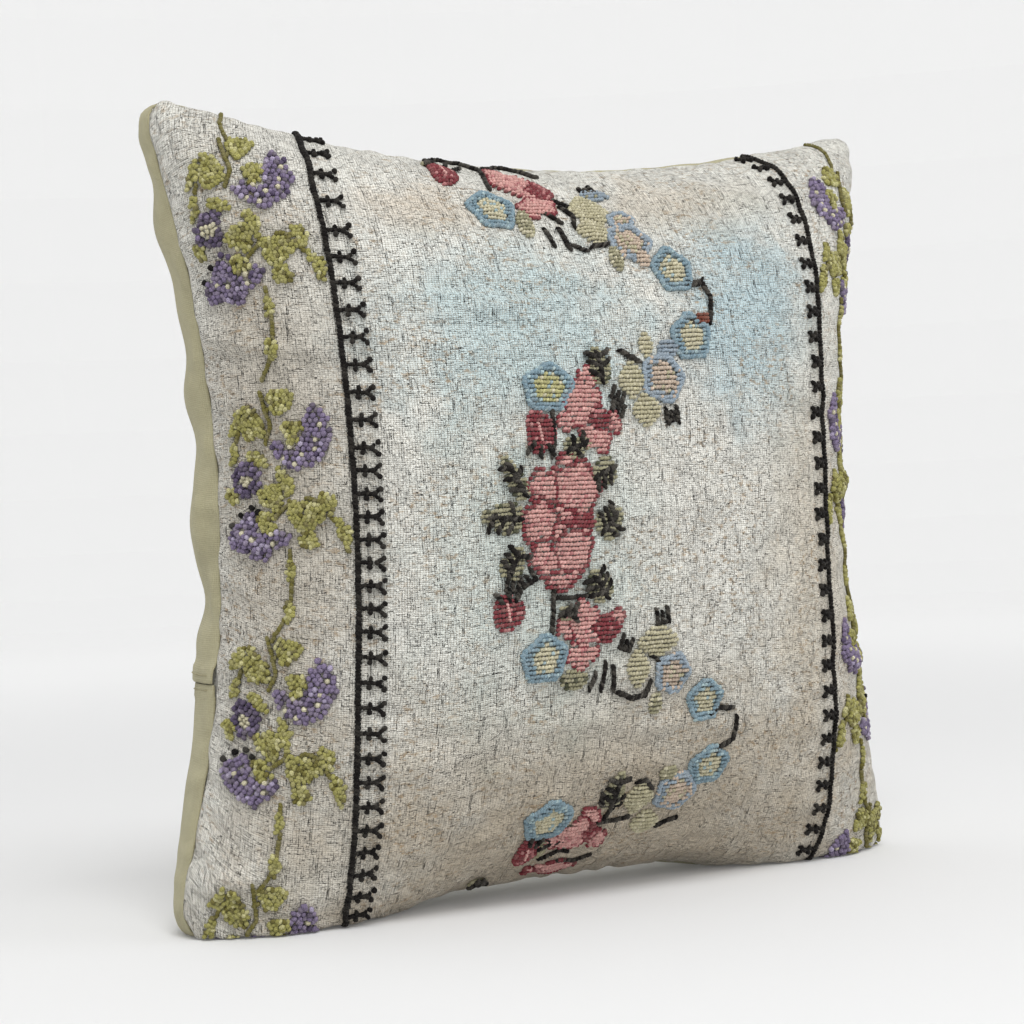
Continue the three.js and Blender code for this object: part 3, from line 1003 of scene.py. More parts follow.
@dataclass(frozen=True)
class Nylon:
    """Slightly glossy dyed nylon monofilament."""

    name: str = "nylon_coil"
    colour: Colour = linear((168, 157, 126))

    def build(self) -> bpy.types.Material:
        """Build the material."""
        material, nodes, shader = new_material(self.name)
        place = nodes.scaled(nodes.add("TexCoord").outputs["Object"], 1 / MM)
        uneven = nodes.noise(place, 1.2, 2.0)
        colour = nodes.mix(uneven, four(self.colour), four(tuple(c * 0.78 for c in self.colour)))
        nodes.feed(shader.inputs["Base Color"], colour)
        nodes.feed(shader.inputs["Roughness"], nodes.ramp(uneven, 0.2, 0.8, 0.36, 0.52))
        bump = nodes.add(
            "Bump", {"Height": nodes.noise(place, 9.0, 2.0), "Distance": 0.02 * MM, "Strength": 0.4}
        )
        nodes.feed(shader.inputs["Normal"], bump.outputs[0])
        return material


@dataclass(frozen=True)
class WovenTape:
    """Herringbone zip tape, read along the tape from its place on the back, with painted shade in the low
    parts of its ribs.
    """

    name: str = "zip_tape"
    colour: Colour = linear((170, 160, 130))
    rib: float = 0.55

    def build(self) -> bpy.types.Material:
        """Build the material."""
        material, nodes, shader = new_material(self.name)
        place = nodes.scaled(nodes.add("TexCoord").outputs["Object"], 1 / MM)
        parts = nodes.add("SeparateXYZ", {0: place})
        band = nodes.math("PINGPONG", parts.outputs[2], 1.6)
        slanted = nodes.math("ADD", parts.outputs[0], band)
        rib = nodes.math("SINE", nodes.math("MULTIPLY", slanted, 2 * math.pi / self.rib))
        cross = nodes.math("SINE", nodes.math("MULTIPLY", parts.outputs[2], 2 * math.pi / 0.4))
        height = nodes.math("MULTIPLY_ADD", cross, 0.4, rib)
        # Painted shade: the low parts of the ribs are darkened in the colour, on top of their bump.
        colour = nodes.mix(
            nodes.ramp(height, -1.2, 1.0), four(tuple(c * 0.62 for c in self.colour)), four(self.colour)
        )
        nodes.feed(shader.inputs["Base Color"], colour)
        bump = nodes.add("Bump", {"Height": height, "Distance": 0.12 * MM, "Strength": 0.8})
        nodes.feed(shader.inputs["Normal"], bump.outputs[0])
        shader.inputs["Roughness"].default_value = 0.85
        return material


@dataclass(frozen=True)
class LooseFibre:
    """Tangled white fibre, with painted shade in the hollows of the tangle."""

    name: str = "loose_fibre"
    colour: Colour = (0.86, 0.86, 0.84)

    def build(self) -> bpy.types.Material:
        """Build the material."""
        material, nodes, shader = new_material(self.name)
        place = nodes.scaled(nodes.add("TexCoord").outputs["Object"], 1 / MM)
        tangle = nodes.noise(nodes.vector("MULTIPLY", place, (1.0, 0.4, 0.7)), 0.5, 6.0, 0.7)
        # Painted shade: where the tangle's bump sinks, the colour is darker too.
        colour = nodes.mix(
            nodes.ramp(tangle, 0.35, 0.6), four(tuple(c * 0.8 for c in self.colour)), four(self.colour)
        )
        nodes.feed(shader.inputs["Base Color"], colour)
        bump = nodes.add("Bump", {"Height": tangle, "Distance": 1.5 * MM, "Strength": 0.8})
        nodes.feed(shader.inputs["Normal"], bump.outputs[0])
        shader.inputs["Roughness"].default_value = 1.0
        shader.inputs["Sheen Weight"].default_value = 0.3
        return material


# Stitches -------------------------------------------------------------------------------------
class Wool(Enum):
    """The dyed yarns, as screen colours."""

    BLACK = (24, 21, 20)
    PLUM = (128, 116, 144)
    DARK_PLUM = (88, 78, 102)
    LILAC = (170, 160, 186)
    GREEN = (158, 154, 92)
    OLIVE = (114, 108, 58)
    PALE_GREEN = (190, 186, 134)
    KHAKI = (160, 156, 128)
    DARK_GREEN = (84, 86, 66)
    PINK = (210, 160, 154)
    PALE_PINK = (222, 172, 166)
    ROSE = (186, 126, 126)
    DARK_RED = (132, 62, 68)
    RUST = (126, 72, 58)
    BLUE = (130, 154, 166)
    PALE_BLUE = (168, 190, 194)
    GREY_BLUE = (150, 164, 176)
    CREAM = (206, 200, 172)
    YELLOW = (190, 184, 154)
    BEIGE = (204, 186, 168)
    CANVAS_THREAD = (178, 170, 138)


@dataclass(frozen=True)
class StitchShape:
    """One raised stitch of unit length, modelled once and copied."""

    sides: int = 6
    rings: int = 5
    bluntness: float = 0.72
    arch: float = 0.22

    def build(self) -> tuple[Array, list[tuple[int, ...]], Array]:
        """Model the stitch.

        Returns:
            Its points, its faces, and the coordinates along and around it of each point.
        """
        deselect_all()
        bpy.ops.mesh.primitive_uv_sphere_add(
            segments=self.sides, ring_count=self.rings, radius=0.5, rotation=(0.0, math.pi / 2, 0.0)
        )
        obj = bpy.context.object
        bpy.ops.object.transform_apply(rotation=True)
        points = vertex_places(obj.data)
        faces = [tuple(p.vertices) for p in obj.data.polygons]
        mesh = obj.data
        bpy.data.objects.remove(obj)
        bpy.data.meshes.remove(mesh)
        along, around = points[:, 0].copy(), points[:, 1:].copy()
        radius = np.linalg.norm(around, axis=1, keepdims=True)
        fuller = np.where(
            radius > 1e-6, 0.5 * (radius / 0.5) ** self.bluntness / np.maximum(radius, 1e-6), 0
        )
        points[:, 1:] = around * fuller
        points[:, 2] += self.arch * (1 - (2 * along) ** 2) - self.arch / 2
        turn = np.arctan2(around[:, 1], around[:, 0]) / (2 * math.pi)
        return points, faces, np.stack([along + 0.5, turn], -1)


@dataclass
class Needlework:
    """Stitches laid one by one on the pattern sheet, then made into a mesh on the cloth."""

    seed: int
    across: Callable[[Array], Array] = PATTERN.across
    up: Callable[[Array], Array] = PATTERN.up
    relief: float = 0.9
    fading: float = 0.14
    padding: float = 1.1
    rows: list[list[float]] = field(default_factory=list)

    def __post_init__(self) -> None:
        """Start the chain of random draws."""
        self.random = np.random.default_rng(self.seed)

    def stitch(
        self, x: float, y: float, angle: float, length: float, width: float, wool: Wool, lift: float = 0.0
    ) -> None:
        """Lay one stitch.

        Args:
            x: Its middle, across.
            y: Its middle, up.
            angle: Its direction, in radians from across.
            length: Its length.
            width: Its width.
            wool: Its yarn.
            lift: How far it lies above the cloth.
        """
        draw = self.random
        tone = 1 + draw.normal(0, 0.07)
        fade = self.fading * draw.random() ** 2
        cloth = np.array(linear((205, 198, 184)))
        colour = np.array(linear(wool.value)) * tone * (1 - fade) + cloth * fade
        self.rows.append([
            x + draw.normal(0, 0.12), y + draw.normal(0, 0.12), angle + draw.normal(0, 0.12),
            length * draw.uniform(0.92, 1.1), width * draw.uniform(0.9, 1.1), lift,
            *np.clip(colour, 0.002, 1),
        ])

    def rope(self, path: Sequence[Point], wool: Wool, width: float = 2.2, pitch: float = 1.5,
             slant: float = 0.6, lift: float = 0.25) -> None:
        """Lay slanted stitches along a path, so that they read as a cord.

        Args:
            path: The points of the path.
            wool: The yarn.
            width: The cord's width.
            pitch: The distance between stitches.
            slant: The stitches' turn from the path, in radians.
            lift: How far they lie above the cloth.
        """
        points = np.array(path, float)
        run = np.concatenate([[0], np.cumsum(np.linalg.norm(np.diff(points, axis=0), axis=1))])
        count = max(2, round(run[-1] / pitch) + 1)
        places = np.linspace(0, run[-1], count)
        x, y = np.interp(places, run, points[:, 0]), np.interp(places, run, points[:, 1])
        heading = np.arctan2(np.gradient(y), np.gradient(x))
        for place_x, place_y, turn in zip(x, y, heading):
            self.stitch(place_x, place_y, turn + slant, width * 1.25, pitch * 1.35, wool, lift)

    def clear(self, outline: Array) -> None:
        """Unpick the stitches inside an outline."""
        if self.rows:
            places = np.array([row[:2] for row in self.rows])
            gone = inside(np.asarray(outline, float), places[:, 0], places[:, 1])
            self.rows = [row for row, away in zip(self.rows, gone) if not away]

    def draw(self, wools: Sequence[Wool]) -> Wool:
        """Pick a yarn by chance; the first is the most common."""
        return wools[0] if self.random.random() < 0.6 else wools[self.random.integers(len(wools))]

    def fill(self, outline: Array, wools: Sequence[Wool], row: float = 2.35, pitch: float = 1.9,
             tilt: float = 0.0) -> None:
        """Fill an outline with rows of short slanted stitches, in place of what was there.

        Args:
            outline: The points of the closed outline.
            wools: The yarns, drawn by chance; the first is the most common.
            row: The distance between rows.
            pitch: The distance between stitches in a row.
            tilt: The direction of the rows, in radians.
        """
        outline = np.asarray(outline, float)
        self.clear(outline)
        c, s = math.cos(tilt), math.sin(tilt)
        turned = outline @ np.array([[c, -s], [s, c]])
        low, high = turned[:, 1].min(), turned[:, 1].max()
        count = max(1, round((high - low) / row))
        for k in range(count):
            level = low + (high - low) * (k + 0.5) / count
            crossings = sorted(crossings_at(turned, level))
            for start, end in zip(crossings[::2], crossings[1::2]):
                places = max(1, round((end - start) / pitch))
                for n in range(places):
                    along = start + (end - start) * (n + 0.5) / places
                    rim = min(along - start, end - along, level - low, high - level)
                    x, y = along * c - level * s, along * s + level * c
                    lift = self.padding * float(smooth(-1, 5, rim))
                    self.stitch(x, y, tilt + 0.45, pitch * 1.5, row * 0.95, self.draw(wools), lift)

    def scatter(self, outline: Array, wools: Sequence[Wool], pitch: float, length: float, width: float,
                lie: float = 0.0, spread: float = 0.7) -> None:
        """Fill an outline with lumpy stitches in uneven places.

        Args:
            outline: The points of the closed outline.
            wools: The yarns, drawn by chance; the first is the most common.
            pitch: The distance between stitches.
            length: Their length.
            width: Their width.
            lie: Their direction, in radians.
            spread: How much the direction varies.
        """
        outline = np.asarray(outline, float)
        self.clear(outline)
        low, high = outline.min(0), outline.max(0)
        for k, y in enumerate(np.arange(low[1] + pitch * 0.4, high[1], pitch * 0.87)):
            for x in np.arange(low[0] + pitch * (0.3 + 0.5 * (k % 2)), high[0], pitch):
                spot = np.array([x, y]) + self.random.normal(0, pitch * 0.13, 2)
                if inside(outline, *spot):
                    turn = lie + self.random.normal(0, spread)
                    lift = self.random.uniform(0.0, 0.8)
                    self.stitch(*spot, turn, length, width, self.draw(wools), lift)

    def knots(self, places: Sequence[Point], wools: Sequence[Wool], size: float = 3.0) -> None:
        """Set a knot at each place, in place of what was there."""
        for x, y in places:
            self.clear(oval(x, y, size * 0.9, size * 0.9))
            turn = self.random.uniform(0, math.pi)
            self.stitch(x, y, turn, size * 1.1, size, self.draw(wools), 0.6)

    def build(self, name: str, surface: Surface, shape: StitchShape) -> bpy.types.Object:
        """Copy the stitch to every place on the cloth.

        Args:
            name: The piece's name.
            surface: The cloth that it lies on.
            shape: The stitch.

        Returns:
            The piece.
        """
        points, faces, around = shape.build()
        rows = np.array(self.rows)
        x, y, angle, length, width, lift = rows[:, :6].T
        middle, across, up, out = surface.frame_at(self.across(x), self.up(y))
        c, s = np.cos(angle)[:, None], np.sin(angle)[:, None]
        along, beside = across * c + up * s, up * c - across * s
        height = np.minimum(length, width) * self.relief + 0.5
        placed = (
            (middle + out * (lift + 0.16 * height)[:, None])[:, None]
            + points[None, :, 0:1] * (along * length[:, None])[:, None]
            + points[None, :, 1:2] * (beside * width[:, None])[:, None]
            + points[None, :, 2:3] * (out * height[:, None])[:, None]
        )
        placed[..., 2] = np.maximum(placed[..., 2], 0.2)
        count, size = len(rows), len(points)
        mesh = bpy.data.meshes.new(name)
        steps = (np.arange(count) * size).tolist()
        mesh.from_pydata((placed.reshape(-1, 3) * MM).tolist(), [], [
            tuple(v + step for v in face) for step in steps for face in faces
        ])
        colours = np.concatenate([np.repeat(rows[:, 6:9], size, 0), np.ones((count * size, 1))], 1)
        layer = mesh.color_attributes.new("wool", "FLOAT_COLOR", "POINT")
        layer.data.foreach_set("color", colours.astype(np.float32).ravel())
        flat = np.tile(around, (count, 1)) + np.repeat(self.random.random((count, 2)), size, 0) * [0, 1]
        loops = np.zeros(len(mesh.loops), np.int32)
        mesh.loops.foreach_get("vertex_index", loops)
        mesh.uv_layers.new(name="stitch").data.foreach_set("uv", flat[loops].astype(np.float32).ravel())
        obj = bpy.data.objects.new(name, mesh)
        bpy.context.scene.collection.objects.link(obj)
        return obj


def crossings_at(outline: Array, level: float) -> list[float]:
    """Give where a closed outline crosses a level."""
    found = []
    for (x0, y0), (x1, y1) in zip(outline, np.roll(outline, -1, axis=0)):
        if (y0 <= level) != (y1 <= level):
            found.append(x0 + (x1 - x0) * (level - y0) / (y1 - y0))
    return found


def inside(outline: Array, x: Array | float, y: Array | float) -> Array:
    """Tell which points lie inside a closed outline."""
    (x0, y0), (x1, y1) = outline.T, np.roll(outline, -1, axis=0).T
    x, y = np.asarray(x)[..., None], np.asarray(y)[..., None]
    crossing = (y0 <= y) != (y1 <= y)
    rise = np.where(crossing, y1 - y0, 1.0)
    return (crossing & (x0 + (x1 - x0) * (y - y0) / rise > x)).sum(-1) % 2 == 1


def oval(x: float, y: float, width: float, height: float, lobes: int = 0, depth: float = 0.0,
         turn: float = 0.0) -> Array:
    """Draw an oval, with lobes where wanted.

    Args:
        x: Its middle, across.
        y: Its middle, up.
        width: Its width.
        height: Its height.
        lobes: The number of lobes.
        depth: How deep the notches between them are, as a share of the radius.
        turn: The turn of the whole shape, in radians.

    Returns:
        The points of the outline.
    """
    angle = np.linspace(0, 2 * math.pi, 33)[:-1]
    reach = 1.14 * (1 - 0.2 * depth + depth * np.cos(lobes * angle)) / 2
    flat = np.stack([np.cos(angle) * reach * width, np.sin(angle) * reach * height], -1)
    c, s = math.cos(turn), math.sin(turn)
    return flat @ np.array([[c, s], [-s, c]]) + [x, y]


def closed(outline: Sequence[Point]) -> list[Point]:
    """Repeat the first point of an outline at its end."""
    points = [tuple(p) for p in outline]
    return [*points, points[0]]


@dataclass(frozen=True)
class Patch:
    """An oval or lobed patch of stitches, with a heart and a rim of other yarns where it has them."""

    x: float
    y: float
    width: float
    height: float
    wools: tuple[Wool, ...]
    heart: tuple[Wool, ...] = ()
    rim: Wool | None = None
    lobes: int = 0
    turn: float = 0.0
    notch: float = 0.08

    def outline(self, grow: float = 0.0, scale: float = 1.0) -> Array:
        """Draw the patch's outline, grown by a width or scaled."""
        size = (self.width * scale + grow, self.height * scale + grow)
        return oval(self.x, self.y, *size, self.lobes, self.notch, math.radians(self.turn))

    def sew(self, work: Needlework) -> None:
        """Sew the patch."""
        work.fill(self.outline(), self.wools)
        if self.heart:
            work.fill(self.outline(scale=0.62), self.heart)
        if self.rim is not None:
            work.rope(closed(self.outline(-2.2)), self.rim, 3.1, 1.7, lift=0.4)


@dataclass(frozen=True)
class Rose:
    """A rose of overlapping petals, each with a dark edge, about a dark heart."""

    petals: tuple[tuple[float, float, float, float], ...]
    heart: tuple[float, float, float, float]
    edge: float = 2.4

    def sew(self, work: Needlework) -> None:
        """Sew the rose."""
        for k, (x, y, width, height) in enumerate(self.petals):
            turn = 0.9 * k
            work.fill(oval(x, y, width + self.edge, height + self.edge, 5, 0.1, turn), (Wool.DARK_RED,))
            work.fill(
                oval(x, y, width - 0.6, height - 0.6, 5, 0.1, turn), (Wool.PINK, Wool.PALE_PINK, Wool.ROSE)
            )
        work.fill(oval(*self.heart, 4, 0.12), (Wool.DARK_RED, Wool.DARK_RED, Wool.ROSE))


@dataclass(frozen=True)
class Bud:
    """A dark red bud with a pale streak, held by black spikes."""

    x: float
    y: float
    width: float
    height: float
    spikes: float

    def sew(self, work: Needlework) -> None:
        """Sew the bud."""
        work.fill(
            oval(self.x, self.y, self.width, self.height, 3, 0.08), (Wool.DARK_RED, Wool.DARK_RED, Wool.ROSE)
        )
        work.rope([(self.x, self.y - 4), (self.x - 1, self.y + 4)], Wool.PALE_PINK, 1.6, 1.5, lift=1.6)
        turn = math.radians(self.spikes)
        for spread in (-0.6, 0.0, 0.6):
            way = np.array([math.cos(turn + spread), math.sin(turn + spread)])
            base = np.array([self.x, self.y]) + way * self.height * 0.38
            work.rope([tuple(base), tuple(base + way * 5.5)], Wool.BLACK, 3.2, 1.7, lift=1.4)


@dataclass(frozen=True)
class Leaf:
    """A khaki leaf, half covered by black spines."""

    x: float
    y: float
    width: float
    height: float
    turn: float = 0.0
    spines: int = 3

    def sew(self, work: Needlework) -> None:
        """Sew the leaf."""
        turn = math.radians(self.turn)
        work.fill(
            oval(self.x, self.y, self.width, self.height, 3, 0.12, turn),
            (Wool.KHAKI, Wool.KHAKI, Wool.DARK_GREEN),
        )
        along = np.array([math.cos(turn), math.sin(turn)])
        beside = np.array([-along[1], along[0]])
        root = np.array([self.x, self.y]) - along * self.width * 0.42
        tip = root + along * self.width * 0.8
        work.rope([tuple(root), tuple(tip)], Wool.BLACK, 4.2, 1.8, lift=1.7)
        for k in range(self.spines):
            base = root + (tip - root) * (k + 0.6) / self.spines
            for way in (1, -1):
                if self.random_side(work, way):
                    end = base + beside * way * self.height * 0.52 + along * 3.0
                    work.rope([tuple(base), tuple(end)], Wool.BLACK, 3.6, 1.8, lift=1.6)

    @staticmethod
    def random_side(work: Needlework, way: int) -> bool:
        """Leave out some of the spines on one side."""
        return way > 0 or work.random.random() < 0.6


@dataclass(frozen=True)
class Twig:
    """A cord of stitches along a path."""

    path: tuple[Point, ...]
    width: float = 2.9
    wool: Wool = Wool.BLACK

    def sew(self, work: Needlework) -> None:
        """Sew the cord."""
        work.rope(self.path, self.wool, self.width, 1.7, 0.5, lift=0.4)


@dataclass(frozen=True)
class Claw:
    """Short fat black strokes that stand on a small black patch."""

    x: float
    y: float
    angle: float = 90.0
    size: float = 7.0

    def sew(self, work: Needlework) -> None:
        """Sew the strokes."""
        turn = math.radians(self.angle)
        along, beside = (math.cos(turn), math.sin(turn)), (-math.sin(turn), math.cos(turn))
        for step in (-1, 0, 1):
            base = (self.x + beside[0] * step * 3.4, self.y + beside[1] * step * 3.4)
            reach = self.size * (0.55 if step == 0 else 0.8)
            work.rope(
                [base, (base[0] + along[0] * reach, base[1] + along[1] * reach)], Wool.BLACK, 2.8, 1.6,
                lift=0.5,
            )
        ends = [(self.x + beside[0] * step * 3.4, self.y + beside[1] * step * 3.4) for step in (-1, 1)]
        work.rope(ends, Wool.BLACK, 3.0, 1.6, lift=0.5)


BLUES = (Wool.BLUE, Wool.PALE_BLUE)
CREAMS = (Wool.CREAM, Wool.YELLOW, Wool.PALE_BLUE)
YELLOWS = (Wool.YELLOW, Wool.CREAM)
BEIGES = (Wool.BEIGE, Wool.CREAM, Wool.YELLOW)


def blue_flower(x: float, y: float, width: float, height: float) -> Patch:
    """Draw a blue flower with a cream heart."""
    return Patch(x, y, width, height, BLUES, CREAMS, Wool.BLUE, 5, 20.0)


def grey_flower(x: float, y: float, width: float, height: float) -> Patch:
    """Draw a beige flower with a grey-blue rim."""
    return Patch(x, y, width, height, (Wool.GREY_BLUE, Wool.BEIGE), BEIGES, Wool.GREY_BLUE, 5)


def yellow_petal(x: float, y: float, width: float, height: float) -> Patch:
    """Draw a yellow petal."""
    return Patch(x, y, width, height, YELLOWS, lobes=4)


ROSES: tuple[Rose | Bud, ...] = (
    Bud(-74, 437, 15, 24, 60),
    Rose(((-38, 438, 10, 14), (-31, 430, 18, 34), (-27, 410, 13, 22)), (-19, 425, 15, 17), 1.6),
    Bud(-54, 280, 16, 20, 265),
    Rose(((-24, 307, 9, 13), (-37, 287, 12, 10), (-27, 295, 21, 20), (-21, 277, 17, 13), (-9, 285, 7, 11)),
         (-18, 287, 12, 12), 1.4),
    Rose(
        ((-45, 233, 30, 54), (-40, 262, 12, 9), (-54, 251, 15, 14), (-57, 234, 16, 19),
         (-44, 206, 17, 11), (-54, 215, 15, 15), (-38, 219, 18, 20), (-34, 251, 23, 22)),
        (-35, 233, 19, 9), 3.6,
    ),
    Bud(-76, 189, 16, 17, 90),
    Rose(
        ((-42, 179, 10, 11), (-32, 166, 19, 15), (-31, 180, 22, 16), (-11, 182, 8, 9)), (-18, 177, 16, 13),
        1.4,
    ),
    Rose(((-30, 52, 9, 10), (-12, 68, 9, 13), (-2, 50, 13, 9), (-18, 56, 20, 21)), (-9, 56, 9, 13), 1.4),
    Bud(-44, 45, 13, 18, 60),
    Rose(((-23, 26, 28, 9),), (-31, 25, 12, 5), 3.0),
)
SMALL_FLOWERS: tuple[Patch, ...] = (
    blue_flower(-56, 406, 24, 24), yellow_petal(5, 409, 21, 21), yellow_petal(2, 394, 17, 15),
    Patch(15, 423, 16, 8, (Wool.GREY_BLUE, Wool.KHAKI), lobes=3),
    grey_flower(22, 402, 15, 12), grey_flower(22, 387, 24, 22), Patch(27, 376, 8, 8, (Wool.BEIGE,)),
    Patch(10, 376, 7, 13, (Wool.KHAKI, Wool.CREAM)), blue_flower(44, 369, 22, 24),
    blue_flower(47, 330, 23, 23),
    Patch(57, 340, 9, 5, (Wool.RUST,)),
    yellow_petal(5, 307, 13, 17), yellow_petal(13, 291, 15, 15), yellow_petal(17, 326, 8, 12),
    Patch(31, 324, 11, 8, (Wool.GREY_BLUE,)), grey_flower(25, 308, 24, 24),
    Patch(-47, 303, 27, 22, BLUES, (Wool.PALE_GREEN, Wool.CREAM, Wool.PALE_BLUE), Wool.BLUE, 5, 10.0),
    blue_flower(-55, 163, 24, 22), yellow_petal(15, 168, 21, 14), yellow_petal(3, 154, 12, 17),
    grey_flower(25, 150, 20, 20), Patch(15, 134, 7, 10, (Wool.KHAKI, Wool.CREAM)),
    blue_flower(48, 133, 20, 21), blue_flower(57, 94, 23, 21), grey_flower(39, 79, 23, 22),
    Patch(31, 92, 9, 7, (Wool.KHAKI, Wool.CREAM)), yellow_petal(16, 77, 15, 18),
    yellow_petal(25, 59, 15, 14),
    blue_flower(-39, 69, 25, 25),
)
LEAVES: tuple[Leaf | Patch, ...] = (
    Patch(-39, 397, 8, 15, (Wool.KHAKI, Wool.CREAM)), Leaf(-15, 314, 18, 12, 95),
    Leaf(-33, 272, 15, 10, 20, 2),
    Leaf(-70, 256, 23, 9, 118), Leaf(-77, 237, 21, 14, 170), Leaf(-73, 213, 16, 12, 60),
    Leaf(-17, 259, 16, 13, 200),
    Leaf(-15, 232, 17, 14, 40), Leaf(-22, 199, 16, 13, 120), Leaf(-42, 186, 9, 7, 0, 2),
    Patch(-37, 151, 14, 9, (Wool.KHAKI, Wool.DARK_GREEN)), Leaf(-1, 83, 22, 11, 85),
    Patch(-36, 46, 6, 12, (Wool.KHAKI,)),
    Leaf(-66, 19, 10, 6, 20, 2), Leaf(-78, 447, 10, 7, 40, 2),
)
STEMS: tuple[Twig | Claw, ...] = (
    Twig(((-73, 459), (-56, 458), (-47, 446), (-50, 424)), 2.4),
    Twig(((-47, 446), (-34, 454), (-18, 450)), 2.6),
    Twig(((-18, 450), (-12, 443)), 3.4), Twig(((-14, 417), (-7, 412)), 3.2),
    Twig(((-12, 411), (-7, 404), (-9, 397)), 3.4),
    Twig(((-24, 405), (-17, 399)), 3.4), Twig(((-28, 394), (-26, 384)), 3.4),
    Twig(((-20, 394), (-17, 382)), 3.6),
    Twig(((-14, 384), (-6, 381)), 3.2), Twig(((-2, 384), (7, 385)), 5.0), Claw(13, 425, 100, 7),
    Twig(((51, 359), (61, 360), (65, 352), (63, 343)), 3.4), Twig(((51, 360), (60, 361)), 5.6),
    Twig(((51, 340), (49, 337)), 4.0), Twig(((63, 342), (61, 338)), 4.0), Twig(((0, 323), (10, 317)), 4.8),
    Claw(29, 285, 95, 8), Claw(29, 289, 275, 7), Claw(-6, 297, 60, 7), Claw(-5, 294, 250, 6),
    Twig(((-46, 293), (-46, 274), (-48, 267)), 3.2), Twig(((-50, 201), (-50, 190), (-51, 177)), 3.4),
    Twig(((-50, 194), (-38, 194), (-18, 195)), 3.0), Claw(-74, 200, 80, 8), Claw(-64, 203, 120, 7),
    Twig(((-24, 153), (-27, 145)), 3.4), Twig(((-18, 158), (-20, 144)), 3.4),
    Twig(((-13, 156), (-12, 143)), 3.4),
    Twig(((-9, 142), (0, 138), (8, 140), (11, 146)), 4.0), Claw(-6, 165, 70, 8), Claw(18, 178, 95, 9),
    Twig(((12, 160), (16, 157)), 3.0), Twig(((52, 124), (58, 128), (67, 127)), 4.4),
    Twig(((71, 122), (71, 110)), 3.6),
    Twig(((60, 103), (69, 108)), 4.4), Twig(((13, 88), (18, 88), (22, 83)), 4.4),
    Twig(((-8, 82), (-7, 75), (4, 74)), 4.6),
    Twig(((1, 72), (-2, 65)), 3.4), Twig(((-5, 62), (4, 62), (13, 64)), 2.6),
    Twig(((35, 55), (46, 59)), 3.6),
    Twig(((-34, 54), (-29, 49), (-24, 52)), 3.0), Twig(((-33, 37), (-22, 42), (-16, 40)), 2.2),
    Twig(((-20, 32), (-8, 31), (1, 34)), 2.2),
)


@dataclass
class Garland:
    """The garland of roses and small flowers that winds up the middle of the front."""

    surface: Surface
    wool: bpy.types.Material

    def build(self) -> list[bpy.types.Object]:
        """Sew the roses, the small flowers and the leaves as three pieces."""
        roses = Needlework(51)
        for rose in ROSES:
            rose.sew(roses)
        flowers = Needlework(52)
        for flower in SMALL_FLOWERS:
            flower.sew(flowers)
        greenery = Needlework(53)
        for part in (*LEAVES, *STEMS):
            part.sew(greenery)
        made = []
        for name, work in (
            ("garland_roses", roses), ("garland_flowers", flowers), ("garland_leaves", greenery)
        ):
            piece = work.build(name, self.surface, StitchShape())
            finish_piece(piece, self.wool, "garland_wool", "centre_garland")
            made.append(piece)
        return made


VINE_GREENS = (Wool.GREEN, Wool.OLIVE, Wool.PALE_GREEN)
VINE_PLUMS = (Wool.PLUM, Wool.DARK_PLUM, Wool.LILAC, Wool.PLUM)
VINE_STEMS: tuple[tuple[Point, ...], ...] = (
    ((-202, 174), (-200, 164), (-198, 157), (-202, 148)), ((-200, 164), (-194, 169)),
    ((-218, 152), (-222, 142)),
    ((-197, 110), (-190, 117), (-190, 126)), ((-169, 113), (-162, 105)),
    ((-188, 116), (-180, 121), (-170, 119)),
    ((-191, 93), (-190, 78), (-191, 66), (-195, 54), (-200, 46)),
)
VINE_LEAVES = (
    (-192, 170, 13, 11, 20), (-219, 158, 5, 14, -28), (-209, 157, 16, 12, 100), (-186, 156, 12, 6, 10),
    (-187, 151, 6, 5, 0), (-222, 141, 4, 12, -22), (-208, 139, 11, 6, -20), (-224, 118, 8, 8, 40),
    (-200, 120, 13, 12, 60), (-192, 128, 6, 14, 18), (-204, 109, 10, 5, 0), (-202, 104, 9, 5, 10),
    (-181, 113, 18, 13, 15), (-181, 100, 9, 9, -30), (-169, 120, 6, 11, 28), (-162, 104, 6, 15, 20),
    (-191, 84, 4, 10, 0), (-192, 62, 5, 10, 8),
)
UPPER_CRESCENT = (
    (-180, 162), (-176, 169), (-171, 167), (-167, 161), (-165, 152), (-169, 144), (-176, 138), (-184, 135),
    (-191, 137), (-198, 142), (-199, 147), (-193, 150), (-189, 145), (-183, 148), (-181, 154),
)
UPPER_CREAMS = ((-188, 147), (-192, 140), (-186, 138), (-182, 143), (-175, 146), (-174, 151), (-171, 158))
LOWER_CRESCENT = (
    (-228, 94), (-224, 100), (-219, 106), (-213, 111), (-208, 107), (-208, 101), (-202, 101), (-196, 105),
    (-190, 102), (-193, 97), (-200, 92), (-204, 86), (-212, 87), (-218, 88), (-224, 89),
)
LOWER_CREAMS = ((-211, 96), (-200, 101), (-200, 96), (-217, 98))
DARK_KNOTS = ((-212, 113), (-219, 108), (-208, 111), (-225, 101))


